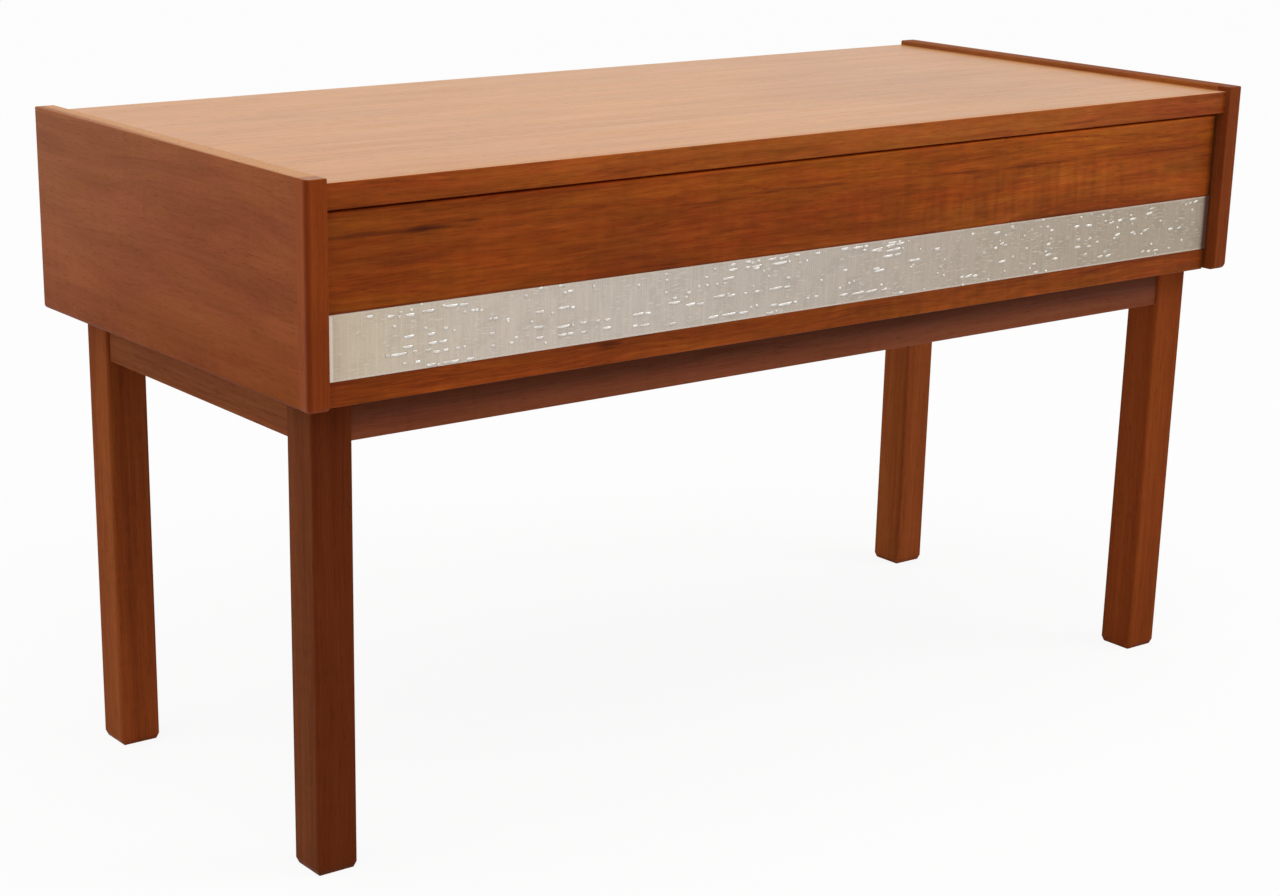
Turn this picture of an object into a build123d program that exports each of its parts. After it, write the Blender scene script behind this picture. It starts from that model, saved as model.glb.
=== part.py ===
"""Sewing table: a veneered case with one wide fitted drawer, standing on a four-legged frame.

Millimetres. X runs along the width, +Y towards the back, +Z up. The origin is on the floor, under the
middle of the table.
"""

import os

from build123d import *

# Overall sizes
WIDTH = 1000.0
DEPTH = 436.0
CASE_HEIGHT = 170.0
LEG_LENGTH = 380.0

# Case boards
SIDE_THICK = 17.5
TOP_THICK = 19.5
BOTTOM_THICK = 16.0
BACK_THICK = 6.0
SIDE_RISE = 4.4  # the sides stand this far above the top
TOP_SETBACK = 4.5  # the top's front edge behind the sides' front edges
BACK_REBATE_SIDE = 7.0  # how far the back board lies over each side
BACK_REBATE_TOP = 10.0  # how far the back board lies over the top's rear edge
SIDE_LIPPING = 14.5  # solid wood along the front edges of the veneered boards
TOP_LIPPING = 8.0
BOARD_EASING = 1.0
SIDE_LOW_ROUND = 6.0  # lower front corner of each side
SIDE_OUTER_ROUND = 4.0  # outer edge of each side, down the front and along the bottom

# Frame under the case
LEG_SIZE = 36.0
LEG_INSET_SIDE = 19.5
LEG_INSET_FRONT = 32.0
LEG_INSET_BACK = 39.0
LEG_EASING = 2.7
LEG_FOOT_CUT_IN = 2.5  # bevel round the foot
LEG_FOOT_CUT_UP = 5.0
RAIL_HEIGHT = 34.5
RAIL_THICK = 20.0
RAIL_SETBACK = 3.0  # rail face behind the leg face
RAIL_EASING = 1.0
TENON_LENGTH = 15.0
TENON_SHOULDER = 4.0  # the tenon is this much thinner than the rail on each side
TENON_TOP_SHOULDER = 6.0
TENON_BOTTOM_SHOULDER = 5.0
BRACE_REACH = 72.0  # along each rail, from the corner where the rails' inner faces meet
BRACE_WIDTH = 26.0  # along each rail
BRACE_HEIGHT = 28.0

# Drawer
DRAWER_RECESS = 11.0  # drawer front behind the sides' front edges
DRAWER_GAP = 4.2  # shadow gap at each end of the drawer front
DRAWER_HEAD_GAP = 2.6  # drawer front below the top
DRAWER_FRONT_THICK = 17.5
DRAWER_STOP_GAP = 0.5  # closed drawer front to the edge of the case bottom
DRAWER_SIDE_THICK = 12.0
DRAWER_SIDE_LIFT = 4.0  # drawer sides above the case bottom
DRAWER_TOP_GAP = 21.0  # drawer sides below the top
DRAWER_REAR_GAP = 22.0  # drawer sides in front of the back board
DRAWER_BACK_THICK = 12.0
DRAWER_BACK_SHOULDER = 5.0  # side left standing behind the drawer back
DRAWER_BACK_DROP = 5.0  # drawer back below the drawer sides
DRAWER_BOTTOM_THICK = 4.0
DRAWER_BOTTOM_UP = 6.0  # drawer bottom above the sides' lower edges
DRAWER_BOTTOM_IN_FRONT = 6.0
HOUSING_DEPTH = 4.0
STRIP_HEIGHT = 50.0
STRIP_THICK = 2.0
STRIP_UP = 19.0  # woven strip above the front's lower edge
GRIP_LENGTH = 420.0
GRIP_WIDTH = 9.0
GRIP_DEPTH = 9.0
GRIP_BACK_LIP = 2.5
TAIL_COUNT = 3
TAIL_LENGTH = 10.0
TAIL_TIP = 21.0
TAIL_ROOT = 17.5
TAIL_ZONE_LOW = 14.0  # half pin at the lower edge
TAIL_ZONE_HIGH = 6.0  # half pin at the upper edge

# Runners
RUNNER_HEIGHT = 14.0
RUNNER_UP = 42.0  # runner above the drawer sides' lower edges
RUNNER_BITE = 6.0  # runner inside the groove
RUNNER_SIDE_PLAY = 0.5
RUNNER_TOP_PLAY = 0.3
RUNNER_BOTTOM_PLAY = 0.7
RUNNER_END_PLAY = 1.5
RUNNER_FRONT_STOP = 6.0  # groove end behind the drawer front
RUNNER_REAR_GAP = 6.0
RUNNER_SCREW_COUNT = 3
RUNNER_SCREW_END = 32.0

# Drawer fittings
LEDGE_THICK = 8.0
LEDGE_HEIGHT = 10.0
DIVIDER_THICK = 8.0
DIVIDER_HOUSING = 3.0
BAY_COUNT = 3
PEG_BOARD_THICK = 6.0
PEG_BOARD_PLAY = 0.5
PEG_ROWS = 5
PEG_COLUMNS = 4
PEG_RADIUS = 3.0
PEG_ROUNDING = 1.5
PEG_EDGE = 38.0
PEG_CLEAR = 4.0  # peg tops below the ledges

# Sliding tray
TRAY_WIDTH = 300.0
TRAY_HEIGHT = 38.0
TRAY_SINK = 5.0  # tray below the drawer sides' upper edges
TRAY_PLAY = 0.6
TRAY_LIFT = 0.2  # running clearance over the ledges
TRAY_WALL = 8.0
TRAY_BOTTOM_THICK = 4.0
TRAY_BOTTOM_UP = 4.0
TRAY_BOTTOM_BITE = 4.0
TRAY_DIVIDER_THICK = 6.0
TRAY_DIVIDER_DROP = 6.0
TRAY_CROSS_COUNT = 2

# Dowels and fasteners
DOWEL_RADIUS = 4.0
DOWEL_LENGTH = 30.0
DOWEL_IN_SIDE = 12.0
DOWEL_CHAMFER = 0.8
DOWEL_COUNT = 4
DOWEL_END = 46.0
SCREW_SHANK_RADIUS = 1.75
SCREW_HEAD_RADIUS = 3.5
SCREW_HEAD_HEIGHT = 2.2
SCREW_TIP = 3.0
SCREW_TIP_RADIUS = 0.4
SCREW_SLOT_WIDTH = 0.9
SCREW_SLOT_DEPTH = 0.9
RUNNER_SCREW_BITE = 9.0  # screw point inside the case side
BRACE_SCREW_BITE = 12.0  # screw point inside the case bottom
NAIL_RADIUS = 0.8
NAIL_HEAD_RADIUS = 1.8
NAIL_HEAD_HEIGHT = 0.9
NAIL_BITE = 12.0  # nail point inside the board behind
NAIL_ROW_COUNT = 8
NAIL_ROW_END = 40.0
DRAWER_NAIL_COUNT = 7
FIT = 0.1  # glue and fixing clearance, on each face

# Case planes
SIDE_OUT = WIDTH / 2
SIDE_IN = SIDE_OUT - SIDE_THICK
FRONT = -DEPTH / 2
BACK = DEPTH / 2
BACK_INNER = BACK - BACK_THICK
CASE_LOW = LEG_LENGTH
CASE_HIGH = CASE_LOW + CASE_HEIGHT
TOP_FACE = CASE_HIGH - SIDE_RISE
TOP_UNDER = TOP_FACE - TOP_THICK
FLOOR_FACE = CASE_LOW + BOTTOM_THICK

# Frame planes
LEG_OUT = SIDE_OUT - LEG_INSET_SIDE
LEG_IN = LEG_OUT - LEG_SIZE
LEG_FRONT = FRONT + LEG_INSET_FRONT
LEG_BACK = BACK - LEG_INSET_BACK
RAIL_LOW = CASE_LOW - RAIL_HEIGHT

# Drawer planes
DF_OUT = SIDE_IN - DRAWER_GAP
DF_FRONT = FRONT + DRAWER_RECESS
DF_BACK = DF_FRONT + DRAWER_FRONT_THICK
DF_HIGH = TOP_UNDER - DRAWER_HEAD_GAP
DS_IN = DF_OUT - DRAWER_SIDE_THICK
DS_LOW = FLOOR_FACE + DRAWER_SIDE_LIFT
DS_HIGH = TOP_UNDER - DRAWER_TOP_GAP
DS_REAR = BACK_INNER - DRAWER_REAR_GAP
DB_REAR = DS_REAR - DRAWER_BACK_SHOULDER
DB_FRONT = DB_REAR - DRAWER_BACK_THICK
PLY_LOW = DS_LOW + DRAWER_BOTTOM_UP
PLY_HIGH = PLY_LOW + DRAWER_BOTTOM_THICK
STRIP_LOW = CASE_LOW + STRIP_UP
STRIP_HIGH = STRIP_LOW + STRIP_HEIGHT
BOTTOM_FRONT = DF_BACK + DRAWER_STOP_GAP

# Runner planes
RUNNER_IN = DF_OUT - RUNNER_BITE
GROOVE_IN = RUNNER_IN - RUNNER_SIDE_PLAY
RUNNER_LOW = DS_LOW + RUNNER_UP
RUNNER_HIGH = RUNNER_LOW + RUNNER_HEIGHT
GROOVE_FRONT = DF_BACK + RUNNER_FRONT_STOP
RUNNER_FRONT = GROOVE_FRONT + RUNNER_END_PLAY
RUNNER_REAR = BACK_INNER - RUNNER_REAR_GAP

# Tray planes
TRAY_HIGH = DS_HIGH - TRAY_SINK
TRAY_LOW = TRAY_HIGH - TRAY_HEIGHT
LEDGE_HIGH = TRAY_LOW - TRAY_LIFT
LEDGE_LOW = LEDGE_HIGH - LEDGE_HEIGHT
TRAY_LEFT = -DS_IN + TRAY_PLAY
TRAY_RIGHT = TRAY_LEFT + TRAY_WIDTH
TRAY_FRONT = DF_BACK + TRAY_PLAY
TRAY_REAR = DB_FRONT - TRAY_PLAY
TRAY_PLY_LOW = TRAY_LOW + TRAY_BOTTOM_UP
TRAY_PLY_HIGH = TRAY_PLY_LOW + TRAY_BOTTOM_THICK
TRAY_DIVIDER_HIGH = TRAY_HIGH - TRAY_DIVIDER_DROP
TRAY_NOTCH = (TRAY_PLY_HIGH + TRAY_DIVIDER_HIGH) / 2

# Signs along X and Y
LEFT, RIGHT = -1, 1
NEAR, FAR = -1, 1


def block(x, y, z):
    """A box between two values on each axis, given in either order."""
    (x0, x1), (y0, y1), (z0, z1) = sorted(x), sorted(y), sorted(z)
    middle = ((x0 + x1) / 2, (y0 + y1) / 2, (z0 + z1) / 2)
    return Pos(*middle) * Box(x1 - x0, y1 - y0, z1 - z0)


def spread(low, high, count):
    """Evenly spaced values from low to high."""
    return [low + (high - low) * k / (count - 1) for k in range(count)]


def inner_marks(low, high, count):
    """The places that divide a length into count + 1 equal stretches."""
    return [low + (high - low) * (k + 1) / (count + 1) for k in range(count)]


def cut_all(board, cutters):
    """The board with every cutter taken out of it."""
    for cutter in cutters:
        board = board - cutter
    return board


def turned(at, along, solid):
    """A solid made along +Z from the origin, set at a point and turned along a direction."""
    return Plane(origin=at, z_dir=along) * solid


def standing(radius, height, low=0.0):
    """A cylinder along +Z that starts at low."""
    return Pos(0, 0, low + height / 2) * Cylinder(radius, height)


def tapered(low_radius, high_radius, height, low=0.0):
    """A cone along +Z that starts at low."""
    return Pos(0, 0, low + height / 2) * Cone(low_radius, high_radius, height)


# Fasteners, each made along +Z with its head's face at the origin


def screw(length, grow=0.0):
    """Countersunk wood screw, or with grow the hole that it sits in."""
    straight = length - SCREW_HEAD_HEIGHT - SCREW_TIP
    shank = SCREW_SHANK_RADIUS + grow
    body = tapered(SCREW_HEAD_RADIUS + grow, shank, SCREW_HEAD_HEIGHT)
    body += standing(shank, straight, SCREW_HEAD_HEIGHT)
    body += tapered(shank, SCREW_TIP_RADIUS + grow, SCREW_TIP, SCREW_HEAD_HEIGHT + straight)
    if grow:
        return body + standing(SCREW_TIP_RADIUS + grow, grow, length)
    return body - Box(3 * SCREW_HEAD_RADIUS, SCREW_SLOT_WIDTH, 2 * SCREW_SLOT_DEPTH)


def nail(length, grow=0.0):
    """Flat-headed panel pin, or with grow the hole that it sits in."""
    head = standing(NAIL_HEAD_RADIUS + grow, NAIL_HEAD_HEIGHT + grow)
    return head + standing(NAIL_RADIUS + grow, length + grow)


def dowel(grow=0.0):
    """Round beech dowel centred on the origin, or with grow the hole for it."""
    peg = Cylinder(DOWEL_RADIUS + grow, DOWEL_LENGTH + 2 * grow)
    return peg if grow else chamfer(peg.edges().filter_by(GeomType.CIRCLE), DOWEL_CHAMFER)


# Places of the fasteners, shared by the pieces that they join


def dowel_places(side, height, front, rear):
    """Dowel centres in the joint between a side and a board that meets it at a height."""
    x = side * (SIDE_IN + DOWEL_IN_SIDE - DOWEL_LENGTH / 2)
    return [(x, y, height) for y in spread(front + DOWEL_END, rear - DOWEL_END, DOWEL_COUNT)]


def top_dowel_places(side):
    return dowel_places(side, (TOP_UNDER + TOP_FACE) / 2, FRONT + TOP_SETBACK, BACK_INNER)


def bottom_dowel_places(side):
    return dowel_places(side, (CASE_LOW + FLOOR_FACE) / 2, BOTTOM_FRONT, BACK_INNER)


def dowels_at(places, grow=0.0):
    return [turned(at, (1, 0, 0), dowel(grow)) for at in places]


def back_nail_places():
    """Nails through the back board into the rear edges of the sides, top and bottom."""
    row = spread(-SIDE_IN + NAIL_ROW_END, SIDE_IN - NAIL_ROW_END, NAIL_ROW_COUNT)
    top_row = [(x, BACK, TOP_UNDER + BACK_REBATE_TOP / 2) for x in row]
    bottom_row = [(x, BACK, (CASE_LOW + FLOOR_FACE) / 2) for x in row]
    side_x = SIDE_IN + BACK_REBATE_SIDE / 2
    heights = inner_marks(CASE_LOW, TOP_UNDER, 2)
    side_rows = [(side * side_x, BACK, z) for side in (LEFT, RIGHT) for z in heights]
    return top_row + bottom_row + side_rows


def back_nails(grow=0.0):
    made = nail(BACK_THICK + NAIL_BITE, grow)
    return [turned(at, (0, -1, 0), made) for at in back_nail_places()]


def runner_screws(side, grow=0.0):
    """Screws through a runner into the case side, their heads sunk in the runner's inner face."""
    z = (RUNNER_LOW + RUNNER_HIGH) / 2
    places = spread(RUNNER_FRONT + RUNNER_SCREW_END, RUNNER_REAR - RUNNER_SCREW_END, RUNNER_SCREW_COUNT)
    made = screw(SIDE_IN - RUNNER_IN + RUNNER_SCREW_BITE, grow)
    return [turned((side * RUNNER_IN, y, z), (side, 0, 0), made) for y in places]


def brace_screw(side, end, grow=0.0):
    """Screw up through a corner brace into the case bottom."""
    corner_x, corner_y = rail_corner(side, end)
    away = (BRACE_REACH - BRACE_WIDTH / 2) / 2
    at = (corner_x - side * away, corner_y - end * away, CASE_LOW - BRACE_HEIGHT)
    return turned(at, (0, 0, 1), screw(BRACE_HEIGHT + BRACE_SCREW_BITE, grow))


def drawer_nails(grow=0.0):
    """Nails up through the drawer bottom into the drawer back."""
    y = (DB_FRONT + DB_REAR) / 2
    row = spread(-DS_IN + NAIL_ROW_END, DS_IN - NAIL_ROW_END, DRAWER_NAIL_COUNT)
    made = nail(DRAWER_BOTTOM_THICK + NAIL_BITE, grow)
    return [turned((x, y, PLY_LOW), (0, 0, 1), made) for x in row]


# Case


def back_board_space(grow=0.0):
    """The space that the back board fills, grown into the rebates that hold it."""
    reach = SIDE_IN + BACK_REBATE_SIDE + grow
    return block((-reach, reach), (BACK_INNER, BACK), (CASE_LOW, TOP_UNDER + BACK_REBATE_TOP + grow))


def lipping_space(depth):
    """The space in front of the line where a board's front lipping is glued on."""
    return block((-SIDE_OUT, SIDE_OUT), (FRONT, FRONT + depth), (CASE_LOW, CASE_HIGH))


def lipped_side(side):
    """Upright end board of the case with its lipping, rounded low at the front and along its outer edge."""
    board = block((side * SIDE_IN, side * SIDE_OUT), (FRONT, BACK), (CASE_LOW, CASE_HIGH))
    low_front = (side * SIDE_IN, FRONT, CASE_LOW)
    board = fillet(board.edges().filter_by(Axis.X).sort_by_distance(low_front)[0], SIDE_LOW_ROUND)
    outer = board.faces().sort_by(Axis.X, reverse=side == RIGHT)[0]
    board = fillet([edge for edge in outer.edges() if front_or_low(edge)], SIDE_OUTER_ROUND)
    inner = board.faces().sort_by(Axis.X, reverse=side == RIGHT)[-1]
    square = [inner, board.faces().sort_by(Axis.Y)[-1], board.faces().sort_by(Axis.Z)[-1]]
    sharp = [edge for edge in board.edges() if any(edge in face.edges() for face in square)]
    return fillet(sharp, BOARD_EASING)


def front_or_low(edge):
    """Whether an edge of a side runs down its front or along its bottom."""
    middle = edge.center()
    return middle.Y < BACK - BOARD_EASING and middle.Z < CASE_HIGH - BOARD_EASING


def side_lipping(side):
    return lipped_side(side) & lipping_space(SIDE_LIPPING)


def side_board(side):
    """Veneered end board, rebated for the back board."""
    board = lipped_side(side) - lipping_space(SIDE_LIPPING)
    holes = dowels_at(top_dowel_places(side) + bottom_dowel_places(side), FIT)
    return cut_all(board, [back_board_space(FIT), *holes, *runner_screws(side, FIT), *back_nails(FIT)])


def lipped_top():
    """Top board with its lipping, eased along the front edge."""
    board = block((-SIDE_IN, SIDE_IN), (FRONT + TOP_SETBACK, BACK), (TOP_UNDER, TOP_FACE))
    return fillet(board.edges().filter_by(Axis.X).group_by(Axis.Y)[0], BOARD_EASING)


def top_lipping():
    return lipped_top() & lipping_space(TOP_SETBACK + TOP_LIPPING)


def top_board():
    """Veneered top, rebated for the back board."""
    board = lipped_top() - lipping_space(TOP_SETBACK + TOP_LIPPING)
    holes = [hole for side in (LEFT, RIGHT) for hole in dowels_at(top_dowel_places(side), FIT)]
    return cut_all(board, [back_board_space(FIT), *holes, *back_nails(FIT)])


def bottom_board():
    board = block((-SIDE_IN, SIDE_IN), (BOTTOM_FRONT, BACK_INNER), (CASE_LOW, FLOOR_FACE))
    holes = [hole for side in (LEFT, RIGHT) for hole in dowels_at(bottom_dowel_places(side), FIT)]
    screws = [brace_screw(side, end, FIT) for side in (LEFT, RIGHT) for end in (NEAR, FAR)]
    return cut_all(board, [*holes, *screws, *back_nails(FIT)])


def back_board():
    return cut_all(back_board_space(), back_nails(FIT))


def runner(side):
    """Hardwood strip that the grooved drawer side hangs on."""
    strip = block((side * SIDE_IN, side * RUNNER_IN), (RUNNER_FRONT, RUNNER_REAR), (RUNNER_LOW, RUNNER_HIGH))
    return cut_all(strip, runner_screws(side, FIT))


# Frame


def rail_corner(side, end):
    """Where the inner faces of two rails meet; end is NEAR or FAR."""
    x = side * (LEG_OUT - RAIL_SETBACK - RAIL_THICK)
    leg_face = LEG_FRONT if end == NEAR else LEG_BACK
    return x, leg_face - end * (RAIL_SETBACK + RAIL_THICK)


def long_rail(end, grow=0.0):
    """Front or back rail with a tenon at each end; with grow, the mortises' shape."""
    inner_y = rail_corner(RIGHT, end)[1]
    outer_y = inner_y + end * RAIL_THICK
    rail = block((-LEG_IN, LEG_IN), (inner_y, outer_y), (RAIL_LOW, CASE_LOW))
    if not grow:
        rail = fillet(rail.edges().filter_by(Axis.X).group_by(Axis.Z)[0], RAIL_EASING)
    reach = LEG_IN + TENON_LENGTH + grow
    thin = TENON_SHOULDER - grow
    tenon_y = (inner_y + end * thin, outer_y - end * thin)
    tenon_z = (RAIL_LOW + TENON_BOTTOM_SHOULDER - grow, CASE_LOW - TENON_TOP_SHOULDER + grow)
    tenons = block((-reach, reach), tenon_y, tenon_z)
    return tenons if grow else rail + tenons


def end_rail(side, grow=0.0):
    """Left or right rail with a tenon at each end; with grow, the mortises' shape."""
    inner_x = rail_corner(side, FAR)[0]
    outer_x = inner_x + side * RAIL_THICK
    leg_inner = (LEG_FRONT + LEG_SIZE, LEG_BACK - LEG_SIZE)
    rail = block((inner_x, outer_x), leg_inner, (RAIL_LOW, CASE_LOW))
    if not grow:
        rail = fillet(rail.edges().filter_by(Axis.Y).group_by(Axis.Z)[0], RAIL_EASING)
    thin = TENON_SHOULDER - grow
    tenon_x = (inner_x + side * thin, outer_x - side * thin)
    tenon_y = (leg_inner[0] - TENON_LENGTH - grow, leg_inner[1] + TENON_LENGTH + grow)
    tenon_z = (RAIL_LOW + TENON_BOTTOM_SHOULDER - grow, CASE_LOW - TENON_TOP_SHOULDER + grow)
    tenons = block(tenon_x, tenon_y, tenon_z)
    return tenons if grow else rail + tenons


def leg(side, end):
    """Square leg, eased along its edges and at the foot, mortised for two rails."""
    leg_face = LEG_FRONT if end == NEAR else LEG_BACK
    post = block((side * LEG_IN, side * LEG_OUT), (leg_face, leg_face - end * LEG_SIZE), (0, LEG_LENGTH))
    post = fillet(post.edges().filter_by(Axis.Z), LEG_EASING)
    foot = post.faces().sort_by(Axis.Z)[0]
    post = chamfer(foot.edges(), LEG_FOOT_CUT_IN, LEG_FOOT_CUT_UP, reference=foot)
    return cut_all(post, [long_rail(end, FIT), end_rail(side, FIT)])


def corner_brace(side, end):
    """Diagonal block across a corner of the frame, behind the leg."""
    corner_x, corner_y = rail_corner(side, end)
    near = BRACE_REACH - BRACE_WIDTH
    outline = [
        (corner_x - side * BRACE_REACH, corner_y),
        (corner_x - side * near, corner_y),
        (corner_x, corner_y - end * near),
        (corner_x, corner_y - end * BRACE_REACH),
    ]
    face = make_face(Polyline([(x, y, CASE_LOW - BRACE_HEIGHT) for x, y in outline], close=True))
    return extrude(face, BRACE_HEIGHT, dir=(0, 0, 1)) - brace_screw(side, end, FIT)


# Drawer


def tails(side, grow=0.0):
    """Dovetails on the front end of a drawer side; with grow, the sockets for them."""
    pitch = (DS_HIGH - TAIL_ZONE_HIGH - DS_LOW - TAIL_ZONE_LOW) / TAIL_COUNT
    made = []
    for k in range(TAIL_COUNT):
        z = DS_LOW + TAIL_ZONE_LOW + (k + 0.5) * pitch
        root, tip = TAIL_ROOT / 2 + grow, TAIL_TIP / 2 + grow
        end_y = DF_BACK - TAIL_LENGTH - grow
        outline = [(DF_BACK, z - root), (DF_BACK, z + root), (end_y, z + tip), (end_y, z - tip)]
        face = make_face(Polyline([(side * DS_IN, y, h) for y, h in outline], close=True))
        made.append(extrude(face, DRAWER_SIDE_THICK, dir=(side, 0, 0)))
    return made


def drawer_bottom_space(grow=0.0):
    """The space of the drawer bottom, grown into the grooves that hold it."""
    reach = DS_IN + HOUSING_DEPTH + grow
    front_y = DF_BACK - DRAWER_BOTTOM_IN_FRONT - grow
    return block((-reach, reach), (front_y, DB_REAR), (PLY_LOW, PLY_HIGH + grow))


def drawer_back_space(grow=0.0):
    """The space of the drawer back, grown into the housings that hold it."""
    reach = DS_IN + HOUSING_DEPTH + grow
    return block((-reach, reach), (DB_FRONT - grow, DB_REAR + grow), (PLY_HIGH, DS_HIGH - DRAWER_BACK_DROP))


def drawer_front():
    """Drawer front with sockets, a channel for the woven strip and a finger grip underneath."""
    board = block((-DF_OUT, DF_OUT), (DF_FRONT, DF_BACK), (CASE_LOW, DF_HIGH))
    board = fillet(board.faces().sort_by(Axis.Y)[0].edges(), BOARD_EASING)
    channel = block((-DF_OUT, DF_OUT), (DF_FRONT, DF_FRONT + STRIP_THICK), (STRIP_LOW, STRIP_HIGH))
    grip_y = (DF_BACK - GRIP_BACK_LIP, DF_BACK - GRIP_BACK_LIP - GRIP_WIDTH)
    grip = block((-GRIP_LENGTH / 2, GRIP_LENGTH / 2), grip_y, (CASE_LOW, CASE_LOW + GRIP_DEPTH))
    sockets = [socket for side in (LEFT, RIGHT) for socket in tails(side, FIT)]
    housings = [cross_divider(x, FIT) for x in divider_places()]
    return cut_all(board, [channel, grip, drawer_bottom_space(FIT), *sockets, *housings])


def woven_strip():
    """Decorative strip let into the drawer front, flush with its face."""
    return block((-DF_OUT, DF_OUT), (DF_FRONT, DF_FRONT + STRIP_THICK), (STRIP_LOW + FIT, STRIP_HIGH - FIT))


def drawer_side(side):
    """Drawer side with dovetails, a runner groove outside and housings inside."""
    board = block((side * DS_IN, side * DF_OUT), (DF_BACK, DS_REAR), (DS_LOW, DS_HIGH))
    for tail in tails(side):
        board = board + tail
    groove_z = (RUNNER_LOW - RUNNER_BOTTOM_PLAY, RUNNER_HIGH + RUNNER_TOP_PLAY)
    groove = block((side * GROOVE_IN, side * DF_OUT), (GROOVE_FRONT, DS_REAR), groove_z)
    reach = DS_IN + HOUSING_DEPTH + FIT
    ply = block((side * DS_IN, side * reach), (DF_BACK, DS_REAR), (PLY_LOW, PLY_HIGH + FIT))
    return cut_all(board, [groove, ply, drawer_back_space(FIT)])


def drawer_back():
    housings = [cross_divider(x, FIT) for x in divider_places()]
    return cut_all(drawer_back_space(), [*drawer_nails(FIT), *housings])


def drawer_bottom():
    return cut_all(drawer_bottom_space(), drawer_nails(FIT))


def ledge(end):
    """Strip inside the drawer front or back that the tray slides on."""
    wall = DF_BACK if end == NEAR else DB_FRONT
    return block((-DS_IN, DS_IN), (wall, wall - end * LEDGE_THICK), (LEDGE_LOW, LEDGE_HIGH))


def divider_places():
    return inner_marks(-DS_IN, DS_IN, BAY_COUNT - 1)


def cross_divider(x, grow=0.0):
    """Fixed divider between two bays, housed in the drawer front and back."""
    half = DIVIDER_THICK / 2 + grow
    ends = (DF_BACK - DIVIDER_HOUSING - grow, DB_FRONT + DIVIDER_HOUSING + grow)
    return block((x - half, x + half), ends, (PLY_HIGH, LEDGE_LOW))


def peg_board_box():
    """Corners of the board that carries the thread pegs, in the right-hand bay."""
    left = divider_places()[-1] + DIVIDER_THICK / 2 + PEG_BOARD_PLAY
    across = (left, DS_IN - PEG_BOARD_PLAY)
    along = (DF_BACK + PEG_BOARD_PLAY, DB_FRONT - PEG_BOARD_PLAY)
    return across, along, (PLY_HIGH, PLY_HIGH + PEG_BOARD_THICK)


def thread_pegs(grow=0.0):
    """Round-ended pegs that hold reels of thread; with grow, the holes for them."""
    across, along, level = peg_board_box()
    height = LEDGE_LOW - PEG_CLEAR - level[0]
    peg = standing(PEG_RADIUS + grow, height)
    if not grow:
        peg = fillet(peg.edges().filter_by(GeomType.CIRCLE).sort_by(Axis.Z)[-1], PEG_ROUNDING)
    columns = spread(across[0] + PEG_EDGE, across[1] - PEG_EDGE, PEG_COLUMNS)
    rows = spread(along[0] + PEG_EDGE, along[1] - PEG_EDGE, PEG_ROWS)
    return [Pos(x, y, level[0]) * peg for x in columns for y in rows]


def peg_board():
    return cut_all(block(*peg_board_box()), thread_pegs(FIT))


# Sliding tray


def tray_bottom_space(grow=0.0):
    """The space of the tray bottom, grown into the grooves that hold it."""
    inset = TRAY_WALL - TRAY_BOTTOM_BITE - grow
    across = (TRAY_LEFT + inset, TRAY_RIGHT - inset)
    along = (TRAY_FRONT + inset, TRAY_REAR - inset)
    return block(across, along, (TRAY_PLY_LOW, TRAY_PLY_HIGH + grow))


def tray_side(side):
    """Long wall of the tray, which runs from its front to its back."""
    outer = TRAY_LEFT if side == LEFT else TRAY_RIGHT
    wall = block((outer, outer - side * TRAY_WALL), (TRAY_FRONT, TRAY_REAR), (TRAY_LOW, TRAY_HIGH))
    return wall - tray_bottom_space(FIT)


def tray_end(end):
    """Short wall of the tray, between its sides."""
    outer = TRAY_FRONT if end == NEAR else TRAY_REAR
    across = (TRAY_LEFT + TRAY_WALL, TRAY_RIGHT - TRAY_WALL)
    wall = block(across, (outer, outer - end * TRAY_WALL), (TRAY_LOW, TRAY_HIGH))
    return wall - tray_bottom_space(FIT)


def tray_cross_places():
    return inner_marks(TRAY_FRONT + TRAY_WALL, TRAY_REAR - TRAY_WALL, TRAY_CROSS_COUNT)


def tray_cross_divider(y, grow=0.0):
    """Divider across the tray, notched from above for the long one."""
    across = (TRAY_LEFT + TRAY_WALL, TRAY_RIGHT - TRAY_WALL)
    half = TRAY_DIVIDER_THICK / 2 + grow
    return block(across, (y - half, y + half), (TRAY_PLY_HIGH, TRAY_DIVIDER_HIGH))


def tray_long_divider(grow=0.0):
    """Divider down the middle of the tray, notched from below for the cross ones."""
    middle = (TRAY_LEFT + TRAY_RIGHT) / 2
    half = TRAY_DIVIDER_THICK / 2 + grow
    along = (TRAY_FRONT + TRAY_WALL, TRAY_REAR - TRAY_WALL)
    return block((middle - half, middle + half), along, (TRAY_PLY_HIGH, TRAY_DIVIDER_HIGH))


def below_notch():
    """Everything in the tray under the height where the halved dividers meet."""
    return block((TRAY_LEFT, TRAY_RIGHT), (TRAY_FRONT, TRAY_REAR), (TRAY_LOW, TRAY_NOTCH))


def halved_cross_divider(y):
    return tray_cross_divider(y) - (tray_long_divider(FIT) - below_notch())


def halved_long_divider():
    notches = [tray_cross_divider(y, FIT) & below_notch() for y in tray_cross_places()]
    return cut_all(tray_long_divider(), notches)


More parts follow.
